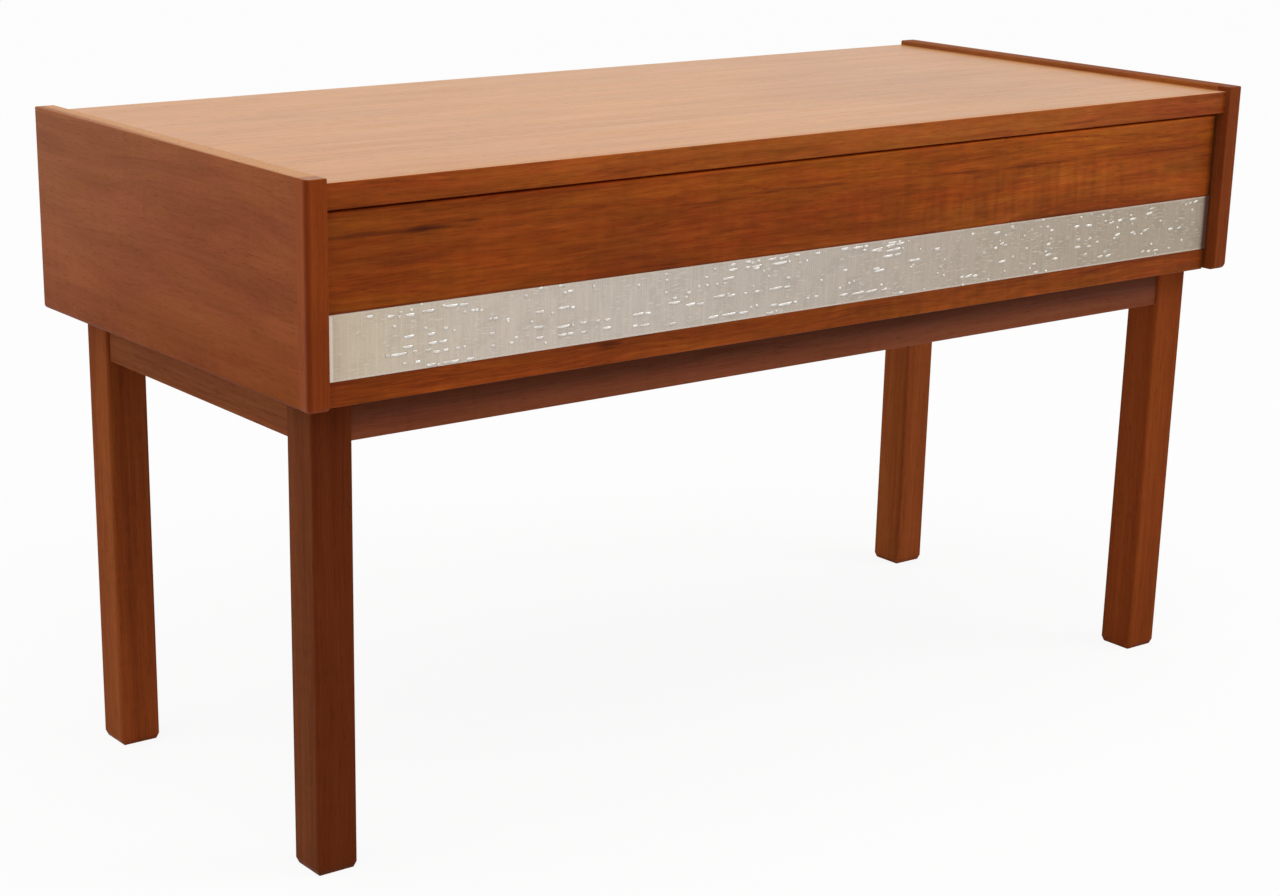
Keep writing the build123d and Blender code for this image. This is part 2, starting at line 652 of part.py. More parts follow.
def all_pieces():
    """Every piece of the table by name, each a list of solids."""
    pieces = {
        "top_panel": [top_board()],
        "top_lipping": [top_lipping()],
        "bottom_panel": [bottom_board()],
        "back_panel": [back_board()],
        "back_panel_nails": back_nails(),
        "drawer_front": [drawer_front()],
        "woven_strip": [woven_strip()],
        "drawer_back": [drawer_back()],
        "drawer_bottom": [drawer_bottom()],
        "drawer_bottom_nails": drawer_nails(),
        "thread_peg_board": [peg_board()],
        "thread_pegs": thread_pegs(),
        "tray_bottom": [tray_bottom_space()],
        "tray_long_divider": [halved_long_divider()],
    }
    braces = []
    for side, hand in ((LEFT, "left"), (RIGHT, "right")):
        pieces[f"{hand}_side_panel"] = [side_board(side)]
        pieces[f"{hand}_side_lipping"] = [side_lipping(side)]
        pieces[f"{hand}_runner"] = [runner(side)]
        pieces[f"{hand}_rail"] = [end_rail(side)]
        pieces[f"drawer_{hand}_side"] = [drawer_side(side)]
        pieces[f"tray_{hand}_side"] = [tray_side(side)]
        for end, place in ((NEAR, "front"), (FAR, "back")):
            pieces[f"{place}_{hand}_leg"] = [leg(side, end)]
            pieces[f"{place}_{hand}_corner_brace"] = [corner_brace(side, end)]
            braces.append(brace_screw(side, end))
    for end, place in ((NEAR, "front"), (FAR, "back")):
        pieces[f"{place}_rail"] = [long_rail(end)]
        pieces[f"drawer_{place}_ledge"] = [ledge(end)]
        pieces[f"tray_{place}_end"] = [tray_end(end)]
    for number, x in enumerate(divider_places(), 1):
        pieces[f"drawer_divider_{number}"] = [cross_divider(x)]
    for number, y in enumerate(tray_cross_places(), 1):
        pieces[f"tray_cross_divider_{number}"] = [halved_cross_divider(y)]
    pieces["corner_brace_screws"] = braces
    pieces["runner_screws"] = runner_screws(LEFT) + runner_screws(RIGHT)
    pieces["top_panel_dowels"] = dowels_at(top_dowel_places(LEFT) + top_dowel_places(RIGHT))
    pieces["bottom_panel_dowels"] = dowels_at(bottom_dowel_places(LEFT) + bottom_dowel_places(RIGHT))
    return pieces


def main():
    os.makedirs("parts", exist_ok=True)
    for name, solids in all_pieces().items():
        loose = [solid for made in solids for solid in made.solids()]
        export_step(Compound(loose), os.path.join("parts", name + ".step"))


main()
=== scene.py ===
"""Looks of the sewing table: teak veneers and solid teak, a woven metallic strip and a pale studio.

Metres, in the table's own frame: X along the width, +Y towards the back, +Z up.
"""

import math
import random
from collections import namedtuple

import bpy
from mathutils import Euler, Matrix, Vector


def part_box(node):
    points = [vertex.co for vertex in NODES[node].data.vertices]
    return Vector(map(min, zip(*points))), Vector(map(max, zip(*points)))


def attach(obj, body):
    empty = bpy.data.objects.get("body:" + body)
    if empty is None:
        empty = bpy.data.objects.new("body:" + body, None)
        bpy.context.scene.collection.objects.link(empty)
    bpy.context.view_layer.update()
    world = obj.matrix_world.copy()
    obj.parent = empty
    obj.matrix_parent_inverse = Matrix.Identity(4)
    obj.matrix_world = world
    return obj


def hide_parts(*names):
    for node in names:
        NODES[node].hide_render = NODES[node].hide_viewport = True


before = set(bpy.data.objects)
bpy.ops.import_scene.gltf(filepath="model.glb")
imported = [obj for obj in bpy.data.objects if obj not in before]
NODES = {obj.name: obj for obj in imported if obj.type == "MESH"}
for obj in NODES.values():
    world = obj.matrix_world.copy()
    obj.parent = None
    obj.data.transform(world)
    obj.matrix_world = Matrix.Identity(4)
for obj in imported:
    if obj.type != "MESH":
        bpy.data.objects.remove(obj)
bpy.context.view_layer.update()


def srgb(red, green, blue):
    """A colour given as 0 to 255, as the linear values that a shader takes."""
    shares = [value / 255 for value in (red, green, blue)]
    return tuple(s / 12.92 if s <= 0.04045 else ((s + 0.055) / 1.055) ** 2.4 for s in shares)


def grey(share):
    return (share, share, share)


# Camera, as the photograph was taken
CAMERA_PLACE = (-1.4133, -1.7572, 0.8475)
CAMERA_TURN = (72.261, -0.806, -36.482)  # degrees
CAMERA_LENS = 71.95  # millimetres
CAMERA_SENSOR = 36.0  # millimetres
CAMERA_SHIFT = (0.054, 0.0839)

# Studio
FLOOR_SIZE = 60.0
FLOOR_COLOUR = (0.8, 0.8, 0.795)
FLOOR_WHITE_SHARE = 0.9  # how far the floor is lifted to white where it is seen
WORLD_AMBIENT = 0.42
SKY_TURN = (10.0, -10.0, 0.0)  # degrees from straight down
SKY_SPREAD = 80.0  # degrees
SKY_STRENGTH = 1.6
LAMPS = {
    "left_softbox": {"place": (-3.0, 0.2, 1.7), "aim": (0.0, 0.0, 0.4), "size": (2.0, 1.6), "power": 9.0},
    "right_softbox": {"place": (3.0, -2.4, 2.4), "aim": (0.2, 0.0, 0.3), "size": (1.8, 1.4), "power": 46.0},
}

# Grain directions, as turns from a board that runs along X
ALONG_X = (0.0, 0.0, 0.0)
ALONG_Y = (0.0, 0.0, -math.pi / 2)
ALONG_Z = (0.0, math.pi / 2, 0.0)

# Marks in wood: length along the grain, width across it, octaves of detail,
# a shift of their own in the noise, and how broken they are
Grain = namedtuple("Grain", "length width detail shift roughness", defaults=[0.5])
NOISE_SHIFT = (1.0, 1.7, 2.3)  # along each axis, for a shift of 1
WIDE = (0.3, 0.7)  # nearly all of a noise's values
NARROW = (0.35, 0.65)
# Names in _FADE: a span of a noise's values, and the shares at its two ends

# Teak
TEAK_SWAY = Grain(0.45, 0.09, 2.0, 0)
TEAK_BANDS = Grain(0.9, 0.022, 2.0, 1)
TEAK_LINES = Grain(0.22, 0.0032, 3.0, 2, 0.6)
TEAK_FIBRES = Grain(0.035, 0.0008, 2.0, 3)
TEAK_RIBBON = Grain(0.0085, 0.045, 2.0, 4)
TEAK_PORES = Grain(0.012, 0.0006, 1.0, 5)
TEAK_RIBBON_AREAS = Grain(0.12, 0.07, 1.0, 6)
TEAK_SMUDGES = Grain(0.07, 0.0055, 3.0, 7)
TEAK_CLOUDS = Grain(0.2, 0.03, 2.0, 8)
TEAK_HUES = Grain(0.06, 0.014, 2.0, 9)
TEAK_FLECKS = Grain(0.024, 0.0042, 2.0, 10)
GRAIN_WEIGHTS = (0.42, 0.3, 0.28)  # bands, lines and fibres
CLOUD_TINT = (1.0, 1.3, 1.1)
REDDER = (1.0, -1.0, 3.0)
BROWNER = (-0.5, 0.5, -1.5)
RIBBON_FADE = ((0.42, 0.62), (0.2, 1.0))
RIBBON_LEAST = 0.22  # share of the ribbon outside its zones
SMUDGE_SPAN = (0.57, 0.74)
PORE_FADE = ((0.62, 0.72), (0.0, 0.4))
PORE_SHADE = 0.35
PORE_DULLING = 0.25
PORE_DEPTH = 1.6  # against the height of a fibre
SHEEN_SPREAD = (0.06, -0.04)  # on the roughness, from dark lines to pale ones
RELIEF_HEIGHT = 0.0003

# Tones of teak, from the darkest streak to the palest band
TEAK_FRONT = (srgb(112, 43, 7), srgb(149, 67, 14), srgb(168, 84, 24))
TEAK_TOP = (srgb(181, 116, 60), srgb(195, 132, 71), srgb(204, 143, 80))
TEAK_TOP_LIPPING = (srgb(116, 47, 8), srgb(144, 68, 15), srgb(160, 84, 27))
TEAK_LEFT_SIDE = (srgb(127, 68, 43), srgb(144, 79, 48), srgb(155, 87, 52))
TEAK_RIGHT_SIDE = (srgb(134, 69, 34), srgb(154, 84, 43), srgb(165, 95, 51))
TEAK_LEFT_LIPPING = (srgb(108, 40, 6), srgb(134, 58, 12), srgb(148, 72, 22))
TEAK_RIGHT_LIPPING = (srgb(100, 42, 16), srgb(123, 59, 26), srgb(136, 72, 38))
TEAK_LEG = (srgb(88, 38, 16), srgb(115, 54, 25), srgb(129, 66, 34))
TEAK_RAIL = (srgb(106, 48, 22), srgb(130, 66, 36), srgb(142, 78, 46))
PLAIN = grey(1.0)  # a tint that changes nothing

# Upper faces: paled by daylight with a painted sheen like the top's on the top lipping, the left side and its
# lipping, and a darker tone of their own on the right rim
PALED_WITH_SHEEN = srgb(204, 151, 107)
PALED_ENDS_WITH_SHEEN = srgb(168, 114, 76)
RIGHT_RIM = srgb(127, 66, 26)
UPPER_FACE_SHARE = 0.92
UPPER_FACE_DEPTHS = (0.0002, 0.00002)

# The rub along a rim's outer edge, at the front and at the back
RUB_ALONG = (-0.1, 0.12)  # Y
RUB_START = (0.0003, 0.003)  # inwards from the edge
RUB_END = (0.004, 0.01)
RUB_LEAST = (0.55, 0.1)  # share of the paler upper-face colour and its painted sheen that is left at the edge

# Drawer front: tints from the left end to the right one, and painted light from the strip to the upper edge,
# paler towards the top against the shadow under the top
FRONT_DRIFT = [
    (0.0, grey(0.76)), (0.2, grey(0.78)), (0.45, grey(0.82)),
    (0.62, (0.9, 0.94, 0.92)), (0.8, (1.0, 1.1, 1.06)), (1.0, (0.9, 0.94, 0.92)),
]
FRONT_PAINTED_LIGHT_RISE = [
    (0.0, (0.96, 0.99, 1.05)), (0.3, PLAIN), (0.64, (1.0, 1.02, 1.02)),
    (0.76, (1.12, 1.21, 1.17)), (1.0, (1.12, 1.22, 1.26)),
]
FRONT_END = (0.62, 0.68, 1.2)
FRONT_END_DEPTHS = (0.006, 0.002)
# painted highlight along the drawer front's upper edge
FRONT_EDGE_HIGHLIGHT = (1.6, 1.52, 1.5)
FRONT_EDGE_HIGHLIGHT_DEPTHS = (0.0038, 0.0004)
# painted shade: a dark line just above the strip, where the upper board's edge shades it
SHADE_LINE_RISE = 0.0006  # a dark line just above the strip
SHADE_LINE_REACH = (0.0005, 0.0016)
SHADE_LINE_SHARE = 0.35

# Broad zones of the drawer front, as (middle x, middle z, half width, half height) and a tint
FRONT_ZONES = [
    ((-0.09, 0.466, 0.26, 0.036), (0.82, 0.76, 0.8)),
    ((0.15, 0.513, 0.4, 0.015), (1.12, 1.2, 1.15)),
    ((-0.38, 0.519, 0.14, 0.009), (1.1, 1.14, 1.12)),
    ((0.22, 0.477, 0.19, 0.022), (1.0, 1.05, 1.03)),
    ((0.2, 0.457, 0.24, 0.017), (0.88, 0.93, 1.0)),
    ((-0.31, 0.484, 0.11, 0.024), (1.14, 1.17, 1.13)),
    ((-0.2, 0.472, 0.055, 0.02), (0.88, 0.95, 1.04)),
    ((-0.42, 0.505, 0.08, 0.007), (0.88, 0.82, 0.88)),
    ((0.44, 0.481, 0.05, 0.014), (0.82, 0.92, 1.0)),
    ((0.43, 0.506, 0.07, 0.009), (1.16, 1.22, 1.12)),
    ((0.04, 0.509, 0.15, 0.011), (1.12, 1.17, 1.1)),
    ((0.12, 0.48, 0.05, 0.013), (1.16, 1.18, 1.0)),
    ((0.02, 0.39, 0.3, 0.03), (0.9, 0.92, 0.96)),
    ((-0.4, 0.39, 0.16, 0.02), (1.16, 1.14, 1.2)),
    ((-0.24, 0.39, 0.09, 0.03), (0.87, 0.83, 1.08)),
    ((0.32, 0.388, 0.3, 0.03), (0.85, 0.87, 0.97)),
]

# Dark mineral streaks of the drawer front, as a zone and a strength
FRONT_STREAKS = [
    ((-0.44, 0.505, 0.06, 0.0025), 0.62),
    ((-0.391, 0.5035, 0.026, 0.0044), 1.0),
    ((-0.352, 0.506, 0.012, 0.0026), 0.65),
    ((-0.235, 0.507, 0.07, 0.0018), 0.35),
    ((-0.41, 0.483, 0.05, 0.006), 0.4),
    ((-0.12, 0.4985, 0.055, 0.002), 0.45),
    ((-0.03, 0.5015, 0.06, 0.002), 0.45),
    ((-0.1, 0.475, 0.04, 0.0018), 0.3),
    ((0.145, 0.498, 0.05, 0.0018), 0.55),
    ((0.24, 0.4975, 0.04, 0.0018), 0.45),
    ((0.4, 0.497, 0.08, 0.0018), 0.3),
    ((-0.2195, 0.395, 0.014, 0.0032), 0.95),
]
MINERAL = srgb(66, 22, 8)
STREAK_STRAYS = Grain(0.05, 0.004, 3.0, 71.0)
STREAK_STRAY_REACH = 0.0016  # how far a streak strays up and down
STREAK_FADE = ((0.36, 0.54), (0.4, 1.0))

# Where the ribbon crosses the drawer front, as a zone and a strength
FRONT_RIBBONS = [
    ((0.22, 0.474, 0.24, 0.034), 1.0),
    ((-0.115, 0.482, 0.06, 0.025), 0.45),
    ((0.22, 0.39, 0.3, 0.02), 0.6),
]

# Top and its lipping, from the left end to the right one
TOP_DRIFT = [(0.0, (0.97, 0.92, 0.73)), (0.5, (0.98, 0.99, 0.92)), (0.8, (0.92, 0.96, 1.01))]
TOP_DULL_ZONE = (0.26, -0.02, 0.2, 0.15)  # middle x, middle y, half width, half depth
TOP_DULL = (0.9, 0.88, 0.9)
TOP_LIPPING_DRIFT = [
    (0.0, (0.84, 0.68, 0.62)), (0.25, (0.96, 0.93, 0.95)),
    (0.6, (1.11, 1.27, 1.46)), (1.0, (0.88, 0.78, 1.12)),
]

# Sides, from the low front corner to the high back one
SIDE_DRIFT = [(0.0, (0.99, 0.88, 0.57)), (0.5, (1.03, 1.05, 1.0)), (1.0, (1.07, 1.35, 1.55))]
SIDE_FOOT = (0.83, 0.77, 0.64)
SIDE_FOOT_HEIGHTS = (0.005, 0.06)
SIDE_FOOT_END = (0.03, 0.16)  # Y over which the foot's tint ends
SIDE_PALE_CORNER = (-0.19, 0.545, 0.12, 0.024)  # middle y, middle z, half depth, half height
SIDE_PALE = (1.15, 1.2, 1.06)
# painted shade along a side's lower edge, over its lowest few millimetres
SIDE_LOW_EDGE_SHADE = (0.7, 0.6, 0.5)
SIDE_LOW_EDGE_SHADE_HEIGHTS = (0.0004, 0.003)

# Upright lippings
LEFT_LIPPING_FOOT = (0.83, 0.75, 0.82)
RIGHT_LIPPING_FOOT = (1.06, 1.04, 1.0)
LIPPING_FOOT_SPAN = (0.35, 0.55)  # shares of its height over which the foot's tint ends
LIPPING_RUBBED = srgb(176, 96, 44)
LIPPING_RUBBED_SHARE = 0.24
LIPPING_RUBBED_DEPTHS = (0.0012, 0.0002)
LIPPING_RUBBED_START = (0.003, 0.0075)  # behind its front
# painted shade along the rounded outer corner at the front
LIPPING_CORNER_SHADE = srgb(84, 24, 2)
LIPPING_CORNER_SHADE_SHARE = 0.5
LIPPING_CORNER_SHADE_DEPTHS = (0.0035, 0.001)
LIPPING_CORNER_SHADE_END = (0.0025, 0.006)  # behind its front

# Legs: the painted light on each, a painted tint that sets its front face apart from its sides, and how far
# that front face darkens from the foot to the case as painted shade
LEG_PAINTED_LIGHT = {
    "front_left_leg": ((0.91, 1.1, 1.28), (0.76, 0.57, 0.49), 0.04),
    "back_left_leg": ((1.47, 1.66, 1.4), (0.86, 0.77, 0.82), 0.25),
    "front_right_leg": ((1.27, 1.2, 0.96), (1.0, 1.02, 0.96), 0.0),
    "back_right_leg": ((1.83, 2.13, 1.94), (0.88, 0.84, 0.88), 0.03),
}
LEG_FRONT_DEPTHS = (0.0003, 0.0025)

# Rails: painted shade from the lower edge to the upper one, darkest under the case where its shadow falls,
# and the shade of the end rails against a leg
RAIL_PAINTED_SHADE = [
    (0.0, (0.88, 0.92, 1.02)), (0.35, (0.78, 0.83, 1.02)), (0.57, (0.58, 0.7, 0.96)),
    (0.64, (0.53, 0.57, 0.62)), (0.8, (0.44, 0.46, 0.5)), (1.0, (0.42, 0.39, 0.34)),
]
END_RAIL_SHADE = (1.32, 1.7, 2.1)

# Pale wood inside, and the darker underside of the case, from dark to light
BEECH = (srgb(190, 150, 106), srgb(220, 184, 140))
UNDER_WOOD = (srgb(120, 76, 46), srgb(152, 104, 68))
BEECH_SWAY = Grain(0.3, 0.06, 2.0, 0)
BEECH_SWAY_REACH = 0.003
BEECH_STREAKS = Grain(0.35, 0.009, 3.0, 1)
BEECH_FLECKS = {"grain": Grain(0.006, 0.0009, 1.0, 2), "span": (0.6, 0.75), "share": 0.4, "shade": 0.6}
BEECH_ROUGHNESS = (0.55, 0.45)  # dark streaks, light ones

# Plywood
PLYWOOD = (srgb(186, 136, 86), srgb(216, 172, 120))
PLYWOOD_RINGS = Grain(0.55, 0.1, 2.0, 0, 0.4)
PLYWOOD_FIBRES = Grain(0.03, 0.0009, 2.0, 1)
PLYWOOD_FLECKS = {"grain": Grain(0.009, 0.0007, 1.0, 2), "span": (0.6, 0.74), "share": 0.5, "shade": 0.62}
PLYWOOD_PATCHES = Grain(0.3, 0.16, 2.0, 3)
RING_COUNT = 15.0
RING_WEIGHT = 1.3
PLYWOOD_FIBRE_WEIGHT = 0.6
PLYWOOD_SPAN = (0.25, 0.85)
PLYWOOD_PATCH_SHADES = (0.92, 1.08)
PLYWOOD_ROUGHNESS = (0.62, 0.5)

# Steel
STEEL_TONES = [(0.3, srgb(120, 116, 110)), (0.7, srgb(178, 174, 168))]
STEEL_PATCHES = 900.0  # to the metre
STEEL_ROUGHNESS = (0.5, 0.32)

# Cloth of the strip: its shape
RIB_PITCH = 0.0024
RIB_RELIEF = 0.0002
RIB_HEIGHTS = (0.3, 1.15)  # shares of the relief, from the flattest rib to the fullest
RIB_SEED = 3
RIB_CELLS = 4
WEFT_PITCH = 0.0020
WEFT_RELIEF = 0.00005
WEFT_CELLS = 2
TILE_RIBS = 2  # ribs take turns to pass over a weft thread, so two of them repeat
CLOTH_SINK = 0.0007  # lowest thread under the drawer front's face

# Cloth of the strip: its colours from the left end to the right one, darker and greyer towards the right as
# painted light and sheen, and its yarn
CLOTH_TONES_AND_LIGHT = [
    (0.02, srgb(208, 191, 167)), (0.12, srgb(207, 194, 179)), (0.3, srgb(203, 191, 179)),
    (0.5, srgb(192, 180, 167)), (0.7, srgb(182, 168, 152)), (0.9, srgb(169, 154, 135)),
]
# painted shade: darker stripes at the ribs' pitch, for the furrows between them
FURROW_SHADE = srgb(190, 176, 160)
FURROW_SHADE_SHARE = 0.08
CLOTH_UPRIGHTS = Grain(0.04, 0.003, 3.0, 61.0)
CLOTH_UPRIGHT_FADE = ((0.35, 0.7), (0.95, 1.06))
CLOTH_CLOUDS = 60.0  # to the metre
CLOTH_CLOUD = srgb(210, 208, 202)
CLOTH_CLOUD_FADE = ((0.42, 0.7), (0.0, 0.3))
WEFT_MARKS = Grain(0.008, 0.0012, 1.0, 63.0)
WEFT_MARK = srgb(236, 226, 214)
WEFT_MARK_FADE = ((0.56, 0.68), (0.0, 1.0))
WEFT_PATCH_FADE = ((0.38, 0.56), (0.0, 0.4))
# painted highlight: pale lines along the strip's upper and lower edges and its left end
CLOTH_EDGE_HIGHLIGHT = srgb(240, 226, 210)
EDGE_HIGHLIGHT_END_DEPTHS = (0.0046, 0.006)
EDGE_HIGHLIGHT_END_SHARE = 0.8
EDGE_HIGHLIGHT_DEPTHS = (0.0018, 0.0008)
EDGE_HIGHLIGHT_SHARE = 0.45
YARN = srgb(206, 198, 188)
YARN_MARKS = 1400.0  # to the metre
YARN_FADE = ((0.45, 0.75), (0.0, 0.4))
YARN_ROUGHNESS = (0.62, 0.46)
# painted shadow over the strip's last few millimetres at the right end
STRIP_END_SHADOW = srgb(70, 28, 14)
STRIP_END_SHADOW_DEPTHS = (0.0058, 0.002)
STRIP_END_SHADOW_SHARE = 0.93

# Metallic thread: its tones from tarnished to bright, and painted light from the left end to the right one,
# darker at the right
THREAD_TONES = [(0.36, srgb(204, 196, 188)), (0.5, srgb(217, 212, 205)), (0.64, srgb(236, 234, 231))]
THREAD_LIGHT_DRIFT = [(0.0, PLAIN), (0.5, grey(0.98)), (1.0, (0.92, 0.91, 0.87))]
THREAD_TARNISH = 130.0  # patches to the metre
THREAD_GLINTS = 700.0  # to the metre
THREAD_DULL = srgb(226, 222, 216)
THREAD_DULL_FADE = ((0.4, 0.7), (0.0, 0.3))
THREAD_ROUGHNESS = (0.4, 0.26)

# Metallic thread: one length of it, one unit long
THREAD_BODY = 0.7  # the rest is its two ends
THREAD_DIP = 0.42  # how far the ends dip into the cloth
THREAD_END_SCALE = (1.0, 0.3, 0.5)
THREAD_CROWN = 0.18

# Metallic thread: where it floats over the ribs
FLOAT_THICK = 0.0008
FLOAT_HEIGHT = 0.0019
FLOAT_SEED = 11
FLOAT_LENGTHS = (8.0, 19.0)  # millimetres, and so the next four
FLOAT_SHORTEST = 1.0
FLOAT_GAPS = (0.2, 0.9)
FLOAT_STRAY = 0.5
DOT_STRAY = 1.0
FLOAT_TILTS = (-2.0, 3.0)  # degrees
FLOAT_LEAN = 28.0  # degrees at most, 1 m from the left end
FLOAT_END_ROOM = 0.002
FLOAT_DOTS = 80
DOT_LENGTHS = (0.002, 0.0036)
DOT_LEFT_ROOM = 0.03
DOT_RIGHT_ROOM = 0.01

# Rows where the metallic thread comes up: millimetres below the strip's upper edge,
# and (start, length) in millimetres from its left end
FLOAT_ROWS = {
    1: ((188, 5), (207, 5), (735, 5)),
    3: (
        (379, 5), (394, 6), (406, 4), (418, 10), (430, 11), (446, 7),
        (469, 6), (498, 8), (511, 17), (551, 15),
    ),
    4: ((697, 4), (813, 4), (937, 7)),
    5: ((34, 6), (62, 3), (103, 21), (549, 21), (649, 4), (877, 5), (925, 4), (931, 4)),
    7: ((52, 7), (68, 8), (82, 12), (216, 5), (377, 9), (394, 5), (401, 12), (422, 20), (532, 14), (676, 9)),
    9: ((402, 8), (451, 4), (538, 7), (549, 20), (873, 9)),
    11: ((119, 3), (126, 4), (130, 3), (352, 4)),
    12: ((747, 5), (778, 7), (793, 9), (823, 8), (835, 7), (851, 10)),
    14: ((370, 15), (545, 13), (559, 8), (606, 6)),
    17: ((344, 4), (685, 5)),
    19: ((84, 3), (146, 5), (186, 9), (207, 16), (690, 4)),
    21: ((101, 5), (158, 4), (334, 4), (439, 4), (501, 5), (575, 15), (678, 4)),
    24: ((66, 10), (87, 7), (319, 5), (535, 8), (744, 5), (782, 6), (797, 5), (832, 8), (853, 6), (870, 9)),
    26: ((536, 13), (905, 7), (917, 6)),
    28: ((315, 14), (361, 24), (393, 4), (405, 5), (420, 24), (807, 5)),
    31: ((65, 10), (88, 8), (97, 8), (143, 5), (184, 10), (333, 19), (700, 4), (780, 8), (797, 5)),
    33: ((206, 16), (228, 7), (243, 5), (252, 6), (280, 18), (684, 10), (743, 9)),
    36: ((50, 4), (55, 15), (74, 4), (85, 6), (166, 4)),
    38: ((92, 7), (101, 5), (112, 4), (119, 3), (753, 7), (793, 5), (819, 4), (923, 4)),
    40: (
        (144, 4), (161, 4), (186, 8), (207, 15), (229, 6), (250, 9),
        (400, 3), (406, 3), (461, 4), (470, 5), (727, 5),
    ),
    42: (
        (280, 5), (287, 11), (422, 29), (498, 10), (512, 30),
        (545, 8), (638, 5), (644, 16), (811, 8), (822, 8),
    ),
    44: ((65, 4), (76, 5), (317, 7), (357, 12), (371, 16), (389, 10), (870, 5), (878, 4), (886, 8), (906, 4)),
    47: ((566, 6),),
    48: ((86, 12), (100, 18), (122, 8), (418, 9), (730, 6)),
}


# Shader nodes


def node(tree, kind, inputs=None, **settings):
    """A shader node with its settings, its inputs linked to sockets or set to values."""
    made = tree.nodes.new("ShaderNode" + kind)
    for name, value in settings.items():
        setattr(made, name, value)
    for name, value in (inputs or {}).items():
        if isinstance(value, bpy.types.NodeSocket):
            tree.links.new(value, made.inputs[name])
        else:
            made.inputs[name].default_value = value
    return made


def number(tree, operation, first, second=0.0):
    """A sum, product or other operation on two numbers."""
    return node(tree, "Math", {0: first, 1: second}, operation=operation).outputs[0]


def times(tree, first, second):
    return number(tree, "MULTIPLY", first, second)


def ranged(tree, value, span, shares):
    """A value moved from a span to the range between two shares, and held inside it."""
    low, high = span
    least, most = shares
    inputs = {"Value": value, "From Min": low, "From Max": high, "To Min": least, "To Max": most}
    return node(tree, "MapRange", inputs, clamp=True).outputs[0]


def nearing(tree, value, edge, depths, share=1.0):
    """0 up to the first depth before an edge, and a share from the second depth on."""
    return ranged(tree, value, (edge - depths[0], edge - depths[1]), (0.0, share))


def leaving(tree, value, edge, depths, shares=(0.0, 1.0)):
    """One share up to the first depth past an edge, and the other from the second depth on."""
    return ranged(tree, value, (edge + depths[0], edge + depths[1]), shares)


def along(tree, value, low, high):
    """How far a value is on its way from a low end to a high one, from 0 to 1."""
    return ranged(tree, value, (low, high), (0.0, 1.0))


def ramp(tree, value, stops):
    """A colour that runs through stops of (place, colour)."""
    made = node(tree, "ValToRGB", {"Fac": value})
    elements = made.color_ramp.elements
    while len(elements) < len(stops):
        elements.new(0.5)
    for element, (place, colour) in zip(elements, stops):
        element.position = place
        element.color = (*colour, 1.0)
    return made.outputs["Color"]


def blended(tree, blend, share, first, second):
    """Two colours put together; share may be a socket or a number."""
    inputs = {"Fac": share, "Color1": first, "Color2": second}
    return node(tree, "MixRGB", inputs, blend_type=blend).outputs["Color"]


def stained(tree, share, colour, stain):
    """A colour mixed with a plain one."""
    return blended(tree, "MIX", share, colour, (*stain, 1.0))


def washed(tree, share, colour, tint):
    """A colour multiplied by a plain tint, as far as the share goes."""
    return blended(tree, "MULTIPLY", share, colour, (*tint, 1.0))


def toned(tree, colour, value, stops):
    """A colour multiplied by tints that run through stops as the value goes from 0 to 1."""
    return blended(tree, "MULTIPLY", 1.0, colour, ramp(tree, value, stops))


def dimmed(tree, colour, share):
    """A colour made darker or paler by a number."""
    shade = node(tree, "CombineColor", {"Red": share, "Green": share, "Blue": share}).outputs["Color"]
    return blended(tree, "MULTIPLY", 1.0, colour, shade)


def bare_tree(holder):
    """The emptied shader tree of a material or of the world."""
    holder.use_nodes = True
    holder.node_tree.nodes.clear()
    return holder.node_tree


def new_material(name):
    """A new material, its tree and its surface shader."""
    material = bpy.data.materials.new(name)
    tree = bare_tree(material)
    shader = node(tree, "BsdfPrincipled")
    node(tree, "OutputMaterial", {"Surface": shader.outputs["BSDF"]})
    return material, tree, shader


def dressed(tree, shader, colour, roughness, relief=None, strength=0.0):
    """Gives a shader its colour and roughness, and a fine relief where there is one."""
    tree.links.new(colour, shader.inputs["Base Color"])
    tree.links.new(roughness, shader.inputs["Roughness"])
    if relief is not None:
        bump = node(tree, "Bump", {"Height": relief, "Strength": strength, "Distance": RELIEF_HEIGHT})
        tree.links.new(bump.outputs["Normal"], shader.inputs["Normal"])


def spot(tree):
    """The place of a point on a piece."""
    return node(tree, "TexCoord").outputs["Object"]


def own_place(tree):
    """X, Y and Z of a point on a piece."""
    return node(tree, "SeparateXYZ", {"Vector": spot(tree)}).outputs


def grain_place(tree, turn):
    """The place of a point, turned so that X runs along the grain."""
    return node(tree, "Mapping", {"Vector": spot(tree), "Rotation": turn}).outputs["Vector"]


def speckle(tree, scale, detail):
    """Noise that is the same in all directions, with so many marks to the metre."""
    return node(tree, "TexNoise", {"Vector": spot(tree), "Scale": scale, "Detail": detail}).outputs["Fac"]


def streaks(tree, place, grain, seed=0.0):
    """Noise drawn out along the grain: marks about as long and as wide as the grain says."""
    scale = (1 / grain.length, 1 / grain.width, 1 / grain.width)
    shift = [(seed + grain.shift) * step for step in NOISE_SHIFT]
    drawn = node(tree, "Mapping", {"Vector": place, "Scale": scale, "Location": shift}).outputs["Vector"]
    inputs = {"Vector": drawn, "Scale": 1.0, "Detail": grain.detail, "Roughness": grain.roughness}
    return node(tree, "TexNoise", inputs).outputs["Fac"]


def wander(tree, place, reach, grain, seed):
    """The place pushed sideways a little, so that the grain isn't ruled."""
    push = ranged(tree, streaks(tree, place, grain, seed), WIDE, (-reach, reach))
    aside = node(tree, "CombineXYZ", {"Y": push, "Z": push}).outputs["Vector"]
    return node(tree, "VectorMath", {0: place, 1: aside}, operation="ADD").outputs["Vector"]


